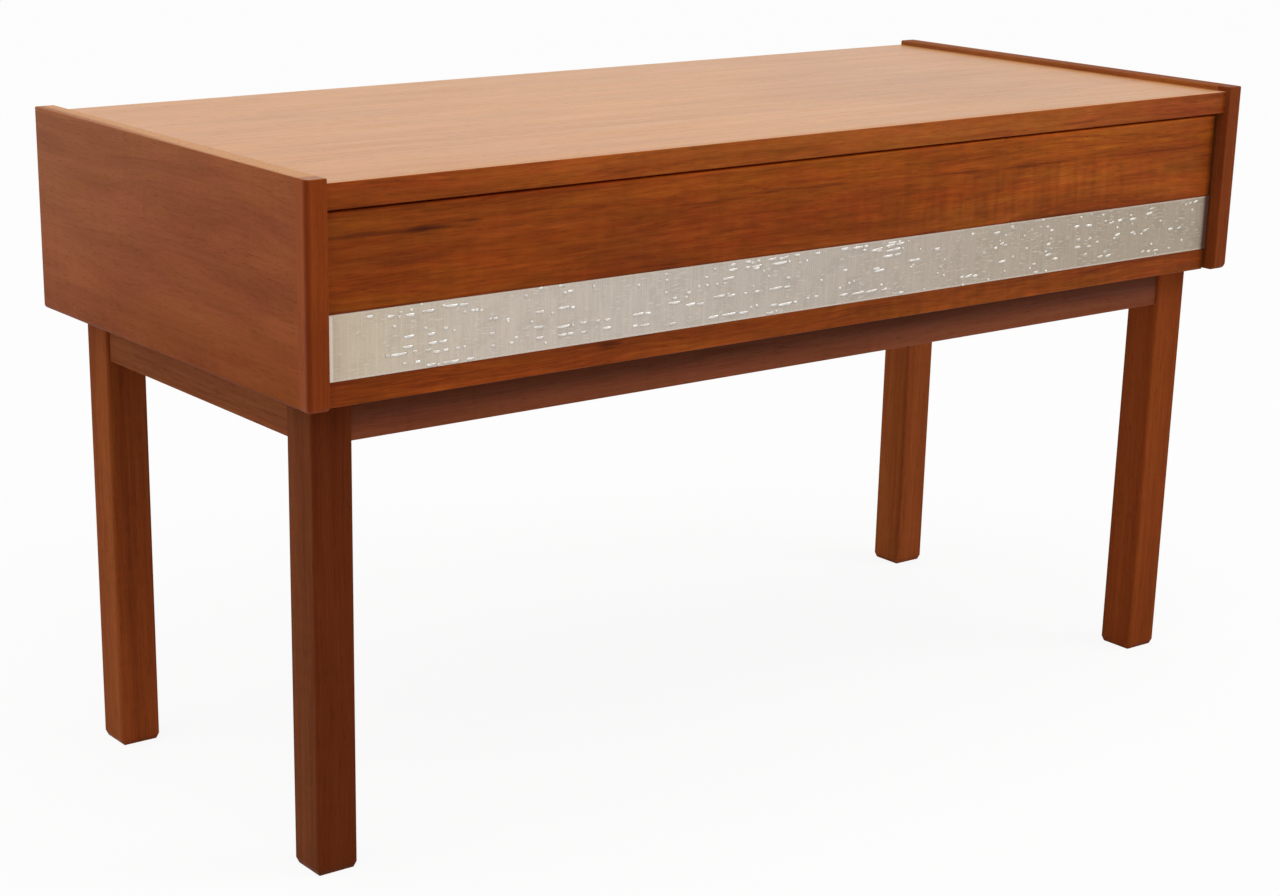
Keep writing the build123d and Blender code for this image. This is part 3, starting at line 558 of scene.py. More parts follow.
def near(tree, across, up, zone):
    """1 at the middle of a zone (across, up, half width, half height), falling to 0 at its rim."""
    middle_across, middle_up, half_width, half_height = zone
    off = number(tree, "DIVIDE", number(tree, "SUBTRACT", across, middle_across), half_width)
    rise = number(tree, "DIVIDE", number(tree, "SUBTRACT", up, middle_up), half_height)
    apart = number(tree, "ADD", times(tree, off, off), times(tree, rise, rise))
    return ranged(tree, apart, (0.0, 1.0), (1.0, 0.0))


# Teak


def grain_colour(tree, layers, tones, spread):
    """The tones of a board, as its bands, lines and fibres bring them up."""
    mixed = 0.0
    for layer, weight in zip(layers, GRAIN_WEIGHTS):
        mixed = number(tree, "ADD", mixed, times(tree, layer, weight))
    tone = ranged(tree, mixed, (0.5 - spread, 0.5 + spread), (0.0, 1.0))
    dark, middle, light = tones
    return ramp(tree, tone, [(0.0, dark), (0.5, middle), (1.0, light)])


def clouded(tree, colour, place, strength, seed):
    """Broad darker and paler patches."""
    patches = ranged(tree, streaks(tree, place, TEAK_CLOUDS, seed), NARROW, (0.0, 1.0))
    deep = [1 - strength * share for share in CLOUD_TINT]
    pale = [1 + strength * share for share in CLOUD_TINT]
    return toned(tree, colour, patches, [(0.0, deep), (1.0, pale)])


def varied(tree, colour, place, strength, seed):
    """Redder and browner wood in turn."""
    patches = ranged(tree, streaks(tree, place, TEAK_HUES, seed), NARROW, (0.0, 1.0))
    redder = [1 + strength * share for share in REDDER]
    browner = [1 + strength * share for share in BROWNER]
    return toned(tree, colour, patches, [(0.0, redder), (1.0, browner)])


def ribboned(tree, colour, place, strength, zones, seed):
    """Light and dark stripes across the grain, in their zones or, without zones, in chance areas."""
    if zones:
        here = own_place(tree)
        share = RIBBON_LEAST
        for zone, peak in zones:
            inside = times(tree, near(tree, here["X"], here["Z"], zone), peak)
            share = number(tree, "MAXIMUM", share, inside)
    else:
        share = ranged(tree, streaks(tree, place, TEAK_RIBBON_AREAS, seed), *RIBBON_FADE)
    stripe = ranged(tree, streaks(tree, place, TEAK_RIBBON, seed), WIDE, (-strength, strength))
    stripe = times(tree, stripe, share)
    return dimmed(tree, colour, number(tree, "ADD", stripe, 1.0))


def upper_faces_toned(tree, colour, height, upper_colour, edge):
    """Faces at a height given a colour of their own, paled by daylight with a painted sheen on the top
    lipping and the left side, and rubbed brown again towards the outer edge.
    """
    here = own_place(tree)
    share = nearing(tree, here["Z"], height, UPPER_FACE_DEPTHS, UPPER_FACE_SHARE)
    inwards = number(tree, "SUBTRACT", edge, number(tree, "ABSOLUTE", here["X"]))
    rub = (RUB_START, RUB_END, RUB_LEAST)
    start, end, least = [ranged(tree, here["Y"], RUB_ALONG, ends) for ends in rub]
    rubbed = ranged(tree, inwards, (start, end), (least, 1.0))
    return stained(tree, times(tree, share, rubbed), colour, upper_colour)


def teak(
    name, turn, tones, spread, seed, ribbon=0.04, ribbon_zones=None, smudge=0.0, cloud=0.05, hue=0.02,
    flecks=0.0, wave=0.006, roughness=0.42, specular=0.06, upper_face=None, marks=None,
):
    """Oiled teak: broad bands, fine streaks, pores, and a ribbon figure across the grain.

    A smaller spread drives the tones further apart. ribbon is the strength of the stripes that cross
    quarter-cut veneer, smudge of the dark mineral streaks, cloud of the broad patches, hue of the change from
    redder to browner wood and flecks of the short soft marks; wave is how far the grain strays. upper_face is
    the height, colour and outer edge of an upper face with a colour of its own, paled by daylight with a
    painted sheen on the top lipping and the left side. marks adds a board's own marks, and on some boards
    painted light and shade.
    """
    material, tree, shader = new_material(name)
    place = grain_place(tree, turn)
    bent = wander(tree, place, wave, TEAK_SWAY, seed)
    bands = streaks(tree, bent, TEAK_BANDS, seed)
    lines = streaks(tree, bent, TEAK_LINES, seed)
    fibres = streaks(tree, bent, TEAK_FIBRES, seed)
    colour = grain_colour(tree, (bands, lines, fibres), tones, spread)
    colour = clouded(tree, colour, bent, cloud, seed)
    colour = varied(tree, colour, bent, hue, seed)
    if flecks:
        short = streaks(tree, bent, TEAK_FLECKS, seed)
        colour = dimmed(tree, colour, ranged(tree, short, NARROW, (1.0 - flecks, 1.0 + flecks)))
    colour = ribboned(tree, colour, place, ribbon, ribbon_zones, seed)
    if smudge:
        mineral = streaks(tree, bent, TEAK_SMUDGES, seed)
        colour = dimmed(tree, colour, ranged(tree, mineral, SMUDGE_SPAN, (1.0, 1.0 - smudge)))
    if marks:
        colour = marks(tree, colour)
    if upper_face:
        colour = upper_faces_toned(tree, colour, *upper_face)
    pores = ranged(tree, streaks(tree, bent, TEAK_PORES, seed), *PORE_FADE)
    colour = stained(tree, pores, colour, [channel * PORE_SHADE for channel in tones[0]])
    sheen = ranged(tree, lines, WIDE, [roughness + step for step in SHEEN_SPREAD])
    sheen = number(tree, "ADD", sheen, times(tree, pores, PORE_DULLING))
    relief = number(tree, "SUBTRACT", fibres, times(tree, pores, PORE_DEPTH))
    dressed(tree, shader, colour, sheen, relief, strength=0.16)
    shader.inputs["Specular IOR Level"].default_value = specular
    return material


def shaded(tones, shares):
    """The same tones from a darker, paler or redder board."""
    return tuple(tuple(channel * share for channel, share in zip(tone, shares)) for tone in tones)


# Marks of the boards, and painted light and shade on some of them


def front_marks_and_light(tree, colour):
    """A drawer front that is darker towards the left end, with broad zones and a few dark streaks.

    Its upper edge carries a painted highlight and it grows paler towards that edge as painted light, its
    right end is darkened, and a painted shade line runs above the strip.
    """
    low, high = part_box("drawer_front")
    strip_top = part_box("woven_strip")[1].z
    place = own_place(tree)
    colour = toned(tree, colour, along(tree, place["X"], low.x, high.x), FRONT_DRIFT)
    for zone, tint in FRONT_ZONES:
        colour = washed(tree, near(tree, place["X"], place["Z"], zone), colour, tint)
    colour = toned(tree, colour, along(tree, place["Z"], strip_top, high.z), FRONT_PAINTED_LIGHT_RISE)
    strays = streaks(tree, grain_place(tree, ALONG_X), STREAK_STRAYS)
    stray = ranged(tree, strays, WIDE, (-STREAK_STRAY_REACH, STREAK_STRAY_REACH))
    height = number(tree, "ADD", place["Z"], stray)
    broken = ranged(tree, strays, *STREAK_FADE)
    for zone, strength in FRONT_STREAKS:
        share = times(tree, near(tree, place["X"], height, zone), broken)
        colour = stained(tree, times(tree, share, strength), colour, MINERAL)
    end = nearing(tree, place["X"], high.x, FRONT_END_DEPTHS)
    colour = toned(tree, colour, end, [(0.0, PLAIN), (1.0, FRONT_END)])
    # painted highlight along the upper edge
    edge_highlight = nearing(tree, place["Z"], high.z, FRONT_EDGE_HIGHLIGHT_DEPTHS)
    colour = toned(tree, colour, edge_highlight, [(0.0, PLAIN), (1.0, FRONT_EDGE_HIGHLIGHT)])
    # painted shade line above the strip
    off_line = number(tree, "ABSOLUTE", number(tree, "SUBTRACT", place["Z"], strip_top + SHADE_LINE_RISE))
    line = ranged(tree, off_line, SHADE_LINE_REACH, (SHADE_LINE_SHARE, 0.0))
    return stained(tree, line, colour, MINERAL)


def top_marks(tree, colour):
    """A top that is more orange at the left end and greyer at the right one, with a dull patch."""
    low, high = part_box("top_panel")
    place = own_place(tree)
    colour = toned(tree, colour, along(tree, place["X"], low.x, high.x), TOP_DRIFT)
    return washed(tree, near(tree, place["X"], place["Y"], TOP_DULL_ZONE), colour, TOP_DULL)


def top_lipping_marks(tree, colour):
    """A lipping that changes in tone from end to end."""
    low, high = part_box("top_lipping")
    return toned(tree, colour, along(tree, own_place(tree)["X"], low.x, high.x), TOP_LIPPING_DRIFT)


def side_marks_and_shade(tree, colour):
    """A side board that is deep brown low at the front and paler, greyer wood up at the back, with painted
    shade along its lower edge.
    """
    low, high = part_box("left_side_panel")
    place = own_place(tree)
    up = ranged(tree, place["Z"], (low.z, high.z), (0.0, 0.5))
    back = ranged(tree, place["Y"], (low.y, high.y), (0.0, 0.5))
    colour = toned(tree, colour, number(tree, "ADD", up, back), SIDE_DRIFT)
    off_foot = leaving(tree, place["Z"], low.z, SIDE_FOOT_HEIGHTS)
    off_foot = number(tree, "MAXIMUM", off_foot, along(tree, place["Y"], *SIDE_FOOT_END))
    colour = toned(tree, colour, off_foot, [(0.0, SIDE_FOOT), (1.0, PLAIN)])
    colour = washed(tree, near(tree, place["Y"], place["Z"], SIDE_PALE_CORNER), colour, SIDE_PALE)
    # painted shade along the lower edge
    off_low_edge_shade = leaving(tree, place["Z"], low.z, SIDE_LOW_EDGE_SHADE_HEIGHTS)
    return toned(tree, colour, off_low_edge_shade, [(0.0, SIDE_LOW_EDGE_SHADE), (1.0, PLAIN)])


def rail_painted_shade(tree, colour):
    """A rail painted darker towards the top, a painted shadow where the case shades it."""
    low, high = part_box("front_rail")
    return toned(tree, colour, along(tree, own_place(tree)["Z"], low.z, high.z), RAIL_PAINTED_SHADE)


def lipping_marks_and_shade(foot):
    """The marks of an upright lipping, with the tint of its lower end.

    Its outer face is rubbed paler by hands, and a painted shade runs dark along the rounded outer corner at
    the front.
    The two lippings mirror each other, so the right one's box serves both.
    """
    low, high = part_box("right_side_lipping")
    foot_end, plain_from = LIPPING_FOOT_SPAN

    def marks(tree, colour):
        place = own_place(tree)
        up = along(tree, place["Z"], low.z, high.z)
        colour = toned(tree, colour, up, [(foot_end, foot), (plain_from, PLAIN)])
        outwards = number(tree, "ABSOLUTE", place["X"])
        rubbed = nearing(tree, outwards, high.x, LIPPING_RUBBED_DEPTHS, LIPPING_RUBBED_SHARE)
        rubbed = times(tree, rubbed, leaving(tree, place["Y"], low.y, LIPPING_RUBBED_START))
        colour = stained(tree, rubbed, colour, LIPPING_RUBBED)
        corner = nearing(tree, outwards, high.x, LIPPING_CORNER_SHADE_DEPTHS)
        front = leaving(tree, place["Y"], low.y, LIPPING_CORNER_SHADE_END, (LIPPING_CORNER_SHADE_SHARE, 0.0))
        return stained(tree, times(tree, corner, front), colour, LIPPING_CORNER_SHADE)

    return marks


def leg_painted_light(name, tint, fall):
    """Painted light on one leg: its front face tinted apart from its sides, and darker towards the case as
    painted shade where fall is set.
    """
    low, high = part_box(name)
    foot = [share * (1 + fall) for share in tint]
    head = [share * (1 - fall) for share in tint]

    def marks(tree, colour):
        place = own_place(tree)
        front = leaving(tree, place["Y"], low.y, LEG_FRONT_DEPTHS, (1.0, 0.0))
        up = along(tree, place["Z"], low.z, high.z)
        return blended(tree, "MULTIPLY", front, colour, ramp(tree, up, [(0.0, foot), (1.0, head)]))

    return marks


# Other finishes


def flecked(tree, colour, place, flecks, dark, seed):
    """Short flecks, darker than a wood's dark tone."""
    share = ranged(tree, streaks(tree, place, flecks["grain"], seed), flecks["span"], (0.0, flecks["share"]))
    return stained(tree, share, colour, [channel * flecks["shade"] for channel in dark])


def pale_wood(name, turn, tones, seed):
    """Light close-grained wood for the inside: short flecks and soft streaks."""
    material, tree, shader = new_material(name)
    bent = wander(tree, grain_place(tree, turn), BEECH_SWAY_REACH, BEECH_SWAY, seed)
    soft = streaks(tree, bent, BEECH_STREAKS, seed)
    dark, light = tones
    colour = ramp(tree, along(tree, soft, *WIDE), [(0.0, dark), (1.0, light)])
    colour = flecked(tree, colour, bent, BEECH_FLECKS, dark, seed)
    dressed(tree, shader, colour, ranged(tree, soft, WIDE, BEECH_ROUGHNESS), soft, strength=0.1)
    return material


def rotary_plywood(name, tones, seed):
    """Plywood faced with peeled veneer: grain in long contour-like loops, with short dark flecks."""
    material, tree, shader = new_material(name)
    place = grain_place(tree, ALONG_X)
    rings = streaks(tree, place, PLYWOOD_RINGS, seed)
    loops = number(tree, "PINGPONG", times(tree, rings, RING_COUNT), 0.5)
    fibres = streaks(tree, place, PLYWOOD_FIBRES, seed)
    fine = times(tree, fibres, PLYWOOD_FIBRE_WEIGHT)
    mixed = number(tree, "ADD", times(tree, loops, RING_WEIGHT), fine)
    dark, light = tones
    colour = ramp(tree, along(tree, mixed, *PLYWOOD_SPAN), [(0.0, dark), (1.0, light)])
    colour = flecked(tree, colour, place, PLYWOOD_FLECKS, dark, seed)
    patches = streaks(tree, place, PLYWOOD_PATCHES, seed)
    colour = dimmed(tree, colour, ranged(tree, patches, WIDE, PLYWOOD_PATCH_SHADES))
    dressed(tree, shader, colour, ranged(tree, fibres, WIDE, PLYWOOD_ROUGHNESS), fibres, strength=0.12)
    return material


def dull_steel():
    """Steel of screws and nails, grey with darker patches."""
    material, tree, shader = new_material("dull_steel")
    patches = speckle(tree, STEEL_PATCHES, 3.0)
    colour = ramp(tree, patches, STEEL_TONES)
    dressed(tree, shader, colour, ranged(tree, patches, WIDE, STEEL_ROUGHNESS))
    shader.inputs["Metallic"].default_value = 1.0
    return material


def strip_cloth():
    """Beige-grey rep cloth, darker towards the right end as painted light, darker stripes at the ribs' pitch
    as painted shade, painted highlights along its edges and left end, and a painted shadow at the right end.
    """
    material, tree, shader = new_material("strip_cloth")
    low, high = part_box("woven_strip")
    middle = (low.z + high.z) / 2
    place = own_place(tree)
    tone = ramp(tree, along(tree, place["X"], low.x, high.x), CLOTH_TONES_AND_LIGHT)
    # painted shade in stripes at the ribs' pitch
    ribs = number(tree, "COSINE", times(tree, place["X"], 2 * math.pi / RIB_PITCH))
    tone = washed(tree, ranged(tree, ribs, (-1.0, 1.0), (FURROW_SHADE_SHARE, 0.0)), tone, FURROW_SHADE)
    uprights = streaks(tree, grain_place(tree, ALONG_Z), CLOTH_UPRIGHTS)
    tone = dimmed(tree, tone, ranged(tree, uprights, *CLOTH_UPRIGHT_FADE))
    clouds = speckle(tree, CLOTH_CLOUDS, 3.0)
    tone = washed(tree, ranged(tree, clouds, *CLOTH_CLOUD_FADE), tone, CLOTH_CLOUD)
    weft = ranged(tree, streaks(tree, spot(tree), WEFT_MARKS), *WEFT_MARK_FADE)
    weft = times(tree, weft, ranged(tree, clouds, *WEFT_PATCH_FADE))
    tone = stained(tree, weft, tone, WEFT_MARK)
    # painted highlight along the left end and the edges
    at_end = leaving(tree, place["X"], low.x, EDGE_HIGHLIGHT_END_DEPTHS, (EDGE_HIGHLIGHT_END_SHARE, 0.0))
    off_middle = number(tree, "ABSOLUTE", number(tree, "SUBTRACT", place["Z"], middle))
    at_edge = nearing(tree, off_middle, high.z - middle, EDGE_HIGHLIGHT_DEPTHS, EDGE_HIGHLIGHT_SHARE)
    tone = stained(tree, number(tree, "MAXIMUM", at_end, at_edge), tone, CLOTH_EDGE_HIGHLIGHT)
    yarn = speckle(tree, YARN_MARKS, 2.0)
    tone = washed(tree, ranged(tree, yarn, *YARN_FADE), tone, YARN)
    # painted shadow at the right end
    end_shadow = nearing(tree, place["X"], high.x, STRIP_END_SHADOW_DEPTHS, STRIP_END_SHADOW_SHARE)
    tone = stained(tree, end_shadow, tone, STRIP_END_SHADOW)
    dressed(tree, shader, tone, ranged(tree, yarn, WIDE, YARN_ROUGHNESS))
    return material


def bright_thread():
    """Flat metallic thread that floats over the cloth, bright in places, with tarnished patches, and darker
    towards the right end as painted light.
    """
    material, tree, shader = new_material("bright_thread")
    low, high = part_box("woven_strip")
    colour = ramp(tree, speckle(tree, THREAD_TARNISH, 2.0), THREAD_TONES)
    colour = toned(tree, colour, along(tree, own_place(tree)["X"], low.x, high.x), THREAD_LIGHT_DRIFT)
    glints = speckle(tree, THREAD_GLINTS, 2.0)
    colour = washed(tree, ranged(tree, glints, *THREAD_DULL_FADE), colour, THREAD_DULL)
    dressed(tree, shader, colour, ranged(tree, glints, WIDE, THREAD_ROUGHNESS))
    shader.inputs["Metallic"].default_value = 0.6
    return material


# Finishes of the solids


def case_finishes():
    """The boards of the case, each with its own tones and marks."""
    side_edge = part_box("right_side_panel")[1].x
    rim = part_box("left_side_panel")[1].z
    top_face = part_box("top_lipping")[1].z
    return {
        "top_panel": teak(
            "teak_top", ALONG_X, TEAK_TOP, spread=0.34, seed=1.0,
            ribbon=0.03, roughness=0.34, specular=0.35, marks=top_marks,
        ),
        "top_lipping": teak(
            "teak_top_lipping", ALONG_X, TEAK_TOP_LIPPING, spread=0.16, seed=25.0,
            smudge=0.35, cloud=0.1, hue=0.05, flecks=0.1, upper_face=(top_face, PALED_WITH_SHEEN, side_edge),
            marks=top_lipping_marks,
        ),
        "left_side_panel": teak(
            "teak_left_side", ALONG_Y, TEAK_LEFT_SIDE, spread=0.2, seed=9.0,
            cloud=0.1, wave=0.02, specular=0.015, upper_face=(rim, PALED_WITH_SHEEN, side_edge), marks=side_marks_and_shade,
        ),
        "right_side_panel": teak(
            "teak_right_side", ALONG_Y, TEAK_RIGHT_SIDE, spread=0.2, seed=11.0,
            cloud=0.1, wave=0.02, specular=0.005, upper_face=(rim, RIGHT_RIM, side_edge), marks=side_marks_and_shade,
        ),
        "left_side_lipping": teak(
            "teak_left_lipping", ALONG_Z, TEAK_LEFT_LIPPING, spread=0.26, seed=24.0,
            upper_face=(rim, PALED_ENDS_WITH_SHEEN, side_edge), marks=lipping_marks_and_shade(LEFT_LIPPING_FOOT),
        ),
        "right_side_lipping": teak(
            "teak_right_lipping", ALONG_Z, TEAK_RIGHT_LIPPING, spread=0.26, seed=26.0,
            specular=0.015, marks=lipping_marks_and_shade(RIGHT_LIPPING_FOOT),
        ),
        "drawer_front": teak(
            "teak_front", ALONG_X, TEAK_FRONT, spread=0.17, seed=5.0,
            ribbon=0.2, ribbon_zones=FRONT_RIBBONS, smudge=0.2, cloud=0.14, hue=0.05, flecks=0.1,
            specular=0.05, marks=front_marks_and_light,
        ),
    }


def frame_finishes():
    """The legs and rails, in solid teak."""
    rail = teak("teak_rail", ALONG_X, TEAK_RAIL, spread=0.2, seed=21.0, specular=0.04, marks=rail_painted_shade)
    end_tones = shaded(TEAK_LEG, END_RAIL_SHADE)
    end_rail = teak("teak_end_rail", ALONG_Y, end_tones, spread=0.2, seed=22.0, specular=0.008)
    finishes = {"front_rail": rail, "back_rail": rail, "left_rail": end_rail, "right_rail": end_rail}
    # every leg is the same leg teak, set apart by its own painted light
    for name, (shade, tint, fall) in LEG_PAINTED_LIGHT.items():
        finishes[name] = teak(
            "teak_" + name, ALONG_Z, shaded(TEAK_LEG, shade), spread=0.22, seed=23.0,
            specular=0.008, marks=leg_painted_light(name, tint, fall),
        )
    return finishes


def plain_finishes():
    """The finishes of what is inside and underneath, by kind."""
    return {
        "beech_along": pale_wood("beech_along", ALONG_X, BEECH, 31.0),
        "beech_deep": pale_wood("beech_deep", ALONG_Y, BEECH, 32.0),
        "beech_upright": pale_wood("beech_upright", ALONG_Z, BEECH, 33.0),
        "plywood": rotary_plywood("plywood", PLYWOOD, 34.0),
        "case_bottom": pale_wood("case_bottom", ALONG_X, UNDER_WOOD, 35.0),
        "steel": dull_steel(),
    }


def plain_kind(name):
    """Which of the plain finishes a solid has; the cloth takes the place of the strip's own solid."""
    if name.endswith(("_screws", "_nails")):
        return "steel"
    if name == "bottom_panel":
        return "case_bottom"
    if name in ("back_panel", "drawer_bottom", "tray_bottom", "woven_strip"):
        return "plywood"
    if name == "thread_pegs":
        return "beech_upright"
    if name.endswith(("_side", "_runner", "_long_divider")) or name.startswith("drawer_divider"):
        return "beech_deep"
    return "beech_along"


def finish_solids():
    """Every solid gets the finish of its own board, with the grain along that board."""
    shown = {**case_finishes(), **frame_finishes()}
    plain = plain_finishes()
    for name, solid in NODES.items():
        finish = shown[name] if name in shown else plain[plain_kind(name)]
        solid.data.materials.clear()
        solid.data.materials.append(finish)


# Woven strip


def deselect():
    bpy.ops.object.select_all(action="DESELECT")


def cloth_tile(low, high, pitch, wefts):
    """Two ribs of the cloth, each bulging where it passes over a weft thread."""
    deselect()
    bpy.ops.mesh.primitive_grid_add(
        x_subdivisions=TILE_RIBS * RIB_CELLS,
        y_subdivisions=WEFT_CELLS * wefts,
        size=1.0,
        rotation=(math.pi / 2, 0.0, 0.0),
    )
    cloth = bpy.context.object
    cloth.name = "strip_woven_cloth"
    cloth.scale = (TILE_RIBS * pitch, high.z - low.z, 1.0)
    cloth.location = (low.x + TILE_RIBS * pitch / 2, low.y + CLOTH_SINK, (low.z + high.z) / 2)
    bpy.ops.object.transform_apply(location=True, rotation=True, scale=True)
    last = TILE_RIBS - 1e-6  # just inside the tile's right edge
    for vertex in cloth.data.vertices:
        across = (vertex.co.x - low.x) / pitch
        up = (vertex.co.z - low.z) / (high.z - low.z) * wefts
        rib = abs(math.sin(math.pi * across))
        phase = math.pi * (up + math.floor(min(across, last)))
        vertex.co.y -= RIB_RELIEF * rib + WEFT_RELIEF * rib * math.cos(phase)
    return cloth


def repeat_tile(cloth, pitch, ribs):
    """The tile repeated along the strip, its seams merged."""
    repeat = cloth.modifiers.new("ribs", "ARRAY")
    repeat.count = math.ceil(ribs / TILE_RIBS)
    repeat.use_relative_offset = False
    repeat.use_constant_offset = True
    repeat.constant_offset_displace = (TILE_RIBS * pitch, 0.0, 0.0)
    repeat.use_merge_vertices = True
    repeat.merge_threshold = pitch / 100
    bpy.ops.object.modifier_apply(modifier=repeat.name)


def close_back(back):
    """The open rim of the active sheet drawn back to a plane and closed there, so that it is a thin pad."""
    bpy.ops.object.mode_set(mode="EDIT")
    bpy.ops.mesh.select_all(action="DESELECT")
    bpy.ops.mesh.select_mode(type="EDGE")
    bpy.ops.mesh.select_non_manifold()
    bpy.ops.mesh.extrude_region_move()
    bpy.ops.transform.resize(value=(1.0, 0.0, 1.0), center_override=(0.0, back, 0.0))
    bpy.ops.mesh.edge_face_add()
    bpy.ops.mesh.select_all(action="SELECT")
    bpy.ops.mesh.normals_make_consistent(inside=False)
    bpy.ops.object.mode_set(mode="OBJECT")


def woven_cloth():
    """Rep cloth stretched over the strip, with upright ribs of uneven height."""
    low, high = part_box("woven_strip")
    ribs = round((high.x - low.x) / RIB_PITCH)
    pitch = (high.x - low.x) / ribs
    wefts = round((high.z - low.z) / WEFT_PITCH)
    cloth = cloth_tile(low, high, pitch, wefts)
    repeat_tile(cloth, pitch, ribs)
    draw = random.Random(RIB_SEED)
    heights = [draw.uniform(*RIB_HEIGHTS) for _ in range(ribs + TILE_RIBS)]
    furrow = low.y + CLOTH_SINK
    for vertex in cloth.data.vertices:
        height = heights[int((vertex.co.x - low.x) / pitch)]
        vertex.co.y = furrow - (furrow - vertex.co.y) * height
    close_back(high.y)
    bpy.ops.object.shade_smooth_by_angle(angle=math.radians(60))
    cloth.data.materials.append(strip_cloth())
    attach(cloth, "drawer")
    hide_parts("woven_strip")
    return cloth


def float_places(low, high):
    """Where the metallic thread floats over the ribs: (x, z, length, tilt).

    Every stretch of a row is broken into short lengths where the thread dips between ribs. Towards the
    right end the lengths lean, and single dips show as dots all along.
    """
    draw = random.Random(FLOAT_SEED)
    places = []
    for down, stretches in FLOAT_ROWS.items():
        for start, length in stretches:
            done = 0.0
            while done < length - FLOAT_SHORTEST:
                piece = min(draw.uniform(*FLOAT_LENGTHS), length - done)
                from_left = (start + done) / 1000
                tilt = math.radians(draw.uniform(*FLOAT_TILTS) + FLOAT_LEAN * from_left ** 3 * draw.random())
                z = high.z - (down + draw.uniform(-FLOAT_STRAY, FLOAT_STRAY)) / 1000
                places.append((low.x + from_left, z, piece / 1000, tilt))
                done += piece + draw.uniform(*FLOAT_GAPS)
    rows = list(FLOAT_ROWS)
    for _ in range(FLOAT_DOTS):
        z = high.z - (draw.choice(rows) + draw.uniform(-DOT_STRAY, DOT_STRAY)) / 1000
        x = draw.uniform(low.x + DOT_LEFT_ROOM, high.x - DOT_RIGHT_ROOM)
        places.append((x, z, draw.uniform(*DOT_LENGTHS), 0.0))
    return [place for place in places if place[0] + place[2] < high.x - FLOAT_END_ROOM]


def pick_faces(mesh, wanted):
    """Selects the faces whose normal is wanted, and nothing else."""
    for part in (mesh.vertices, mesh.edges, mesh.polygons):
        for element in part:
            element.select = False
    for face in mesh.polygons:
        face.select = wanted(face.normal)


def thread_length():
    """A length of flat thread, one unit long: rounded over, its ends narrowed and tucked into the cloth."""
    deselect()
    bpy.ops.mesh.primitive_cube_add(size=1.0)
    thread = bpy.context.object
    thread.scale = (THREAD_BODY, 1.0, 1.0)
    bpy.ops.object.transform_apply(location=True, rotation=True, scale=True)
    bpy.context.tool_settings.mesh_select_mode = (False, False, True)
    reach = (1 - THREAD_BODY) / 2
    for side in (-1, 1):
        pick_faces(thread.data, lambda normal: normal.x * side > 0.9)
        bpy.ops.object.mode_set(mode="EDIT")
        bpy.ops.mesh.extrude_region_move(TRANSFORM_OT_translate={"value": (side * reach, THREAD_DIP, 0.0)})
        bpy.ops.transform.resize(value=THREAD_END_SCALE)
        bpy.ops.object.mode_set(mode="OBJECT")
    pick_faces(thread.data, lambda normal: normal.y < -0.5)
    bpy.ops.object.mode_set(mode="EDIT")
    bpy.ops.mesh.inset(thickness=0.16, depth=0.0)
    bpy.ops.transform.translate(value=(0.0, -THREAD_CROWN, 0.0))
    bpy.ops.object.mode_set(mode="OBJECT")
    bpy.ops.object.shade_smooth()
    return thread


def metallic_floats():
    """Short flattened lengths of metallic thread lying over the ribs."""
    low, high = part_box("woven_strip")
    first = thread_length()
    surface = low.y + CLOTH_SINK - RIB_RELIEF
    made = []
    for x, z, length, tilt in float_places(low, high):
        copy = first.copy()
        copy.data = first.data.copy()
        copy.data.transform(Matrix.Diagonal((length, FLOAT_THICK, FLOAT_HEIGHT, 1.0)))
        copy.data.transform(Matrix.Rotation(-tilt, 4, "Y"))
        copy.data.transform(Matrix.Translation((x + length / 2, surface, z)))
        bpy.context.collection.objects.link(copy)
        made.append(copy)
    bpy.data.objects.remove(first)
    deselect()
    for copy in made:
        copy.select_set(True)
    bpy.context.view_layer.objects.active = made[0]
    bpy.ops.object.join()
    floats = bpy.context.object
    floats.name = "strip_metallic_thread"
    floats.data.materials.append(bright_thread())
    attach(floats, "drawer")
    return floats


# Studio


def seen_share(tree):
    """1 where the camera, a reflection or glass sees a surface, 0 for the light that it gives back."""
    path = node(tree, "LightPath")
    seen = number(tree, "MAXIMUM", path.outputs["Is Camera Ray"], path.outputs["Is Glossy Ray"])
    return number(tree, "MAXIMUM", seen, path.outputs["Is Transmission Ray"])


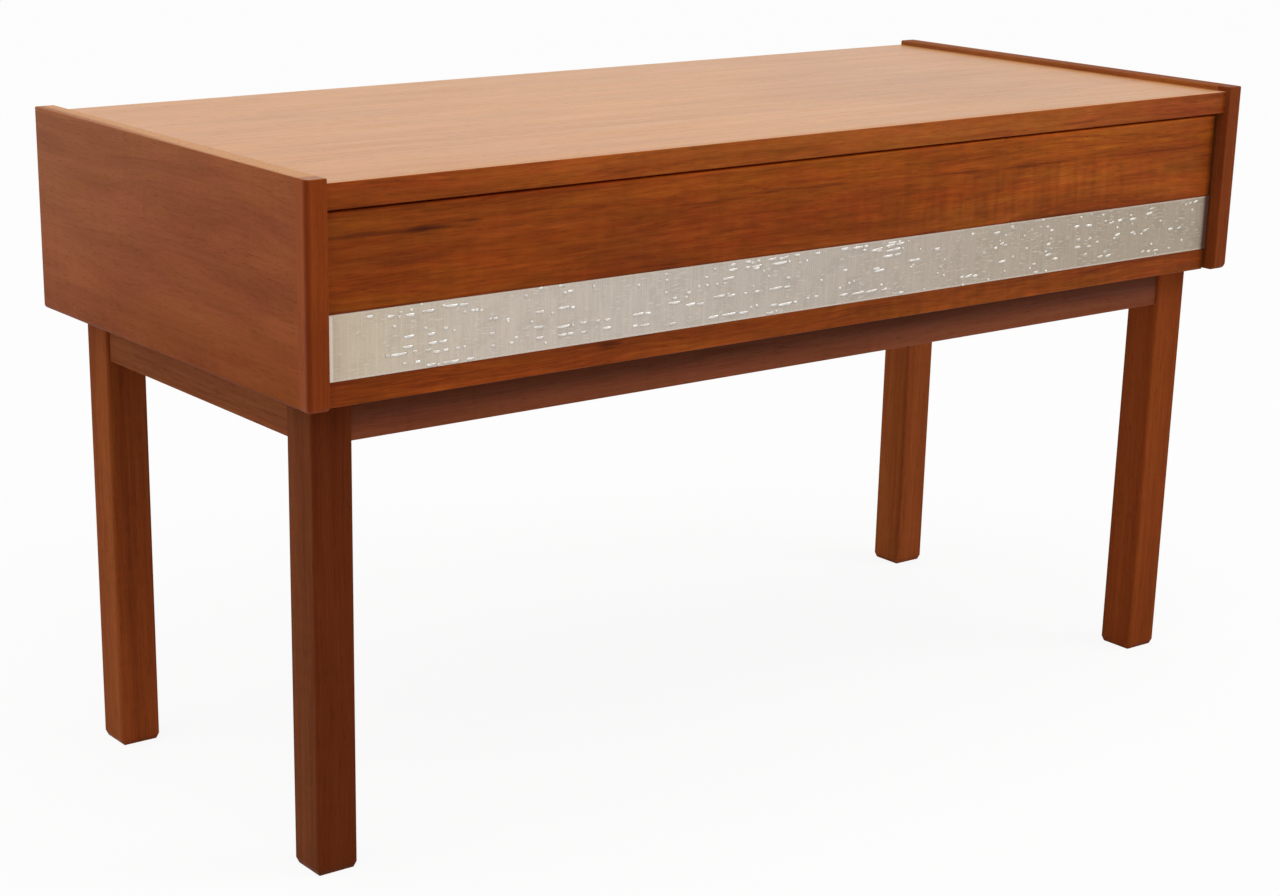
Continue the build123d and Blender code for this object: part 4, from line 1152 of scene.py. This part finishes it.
def studio_floor():
    """A pale matt floor, lifted towards white where it is seen, with the table's shadow left on it."""
    deselect()
    bpy.ops.mesh.primitive_plane_add(size=FLOOR_SIZE)
    floor = bpy.context.object
    floor.name = "floor"
    material = bpy.data.materials.new("pale_floor")
    tree = bare_tree(material)
    matt = node(tree, "BsdfDiffuse", {"Color": (*FLOOR_COLOUR, 1.0)})
    white = node(tree, "Emission", {"Color": (1.0, 1.0, 1.0, 1.0), "Strength": 1.0})
    share = times(tree, seen_share(tree), FLOOR_WHITE_SHARE)
    both = node(tree, "MixShader", {0: share, 1: matt.outputs[0], 2: white.outputs[0]})
    node(tree, "OutputMaterial", {"Surface": both.outputs[0]})
    floor.data.materials.append(material)


def studio_world():
    """White to the camera and in reflections, a plain ambient level for the rest."""
    world = bpy.data.worlds.new("studio")
    tree = bare_tree(world)
    strength = ranged(tree, seen_share(tree), (0.0, 1.0), (WORLD_AMBIENT, 1.0))
    background = node(tree, "Background", {"Color": (1.0, 1.0, 1.0, 1.0), "Strength": strength})
    node(tree, "OutputWorld", {"Surface": background.outputs["Background"]})
    bpy.context.scene.world = world


def put_up(name, equipment, place, turn):
    """A lamp or camera put up in the studio."""
    holder = bpy.data.objects.new(name, equipment)
    holder.location = place
    holder.rotation_euler = turn
    bpy.context.collection.objects.link(holder)
    return holder


def turn_by(degrees):
    return Euler([math.radians(angle) for angle in degrees])


def studio_lamps():
    """A broad soft sky from above, and softboxes at the left and at the right in front."""
    sky = bpy.data.lights.new("overhead_sky", "SUN")
    sky.energy = SKY_STRENGTH
    sky.angle = math.radians(SKY_SPREAD)
    put_up("overhead_sky", sky, (0.0, 0.0, 0.0), turn_by(SKY_TURN))
    for name, lamp in LAMPS.items():
        light = bpy.data.lights.new(name, "AREA")
        light.shape = "RECTANGLE"
        light.size, light.size_y = lamp["size"]
        light.energy = lamp["power"]
        aim = Vector(lamp["aim"]) - Vector(lamp["place"])
        put_up(name, light, lamp["place"], aim.to_track_quat("-Z", "Y").to_euler())


def studio_camera():
    camera = bpy.data.cameras.new("camera")
    camera.lens = CAMERA_LENS
    camera.sensor_width = CAMERA_SENSOR
    camera.shift_x, camera.shift_y = CAMERA_SHIFT
    camera.clip_end = 100.0
    bpy.context.scene.camera = put_up("camera", camera, CAMERA_PLACE, turn_by(CAMERA_TURN))


finish_solids()
cloth = woven_cloth()
floats = metallic_floats()
studio_floor()
studio_world()
studio_lamps()
studio_camera()
bpy.context.scene.view_settings.view_transform = "Standard"
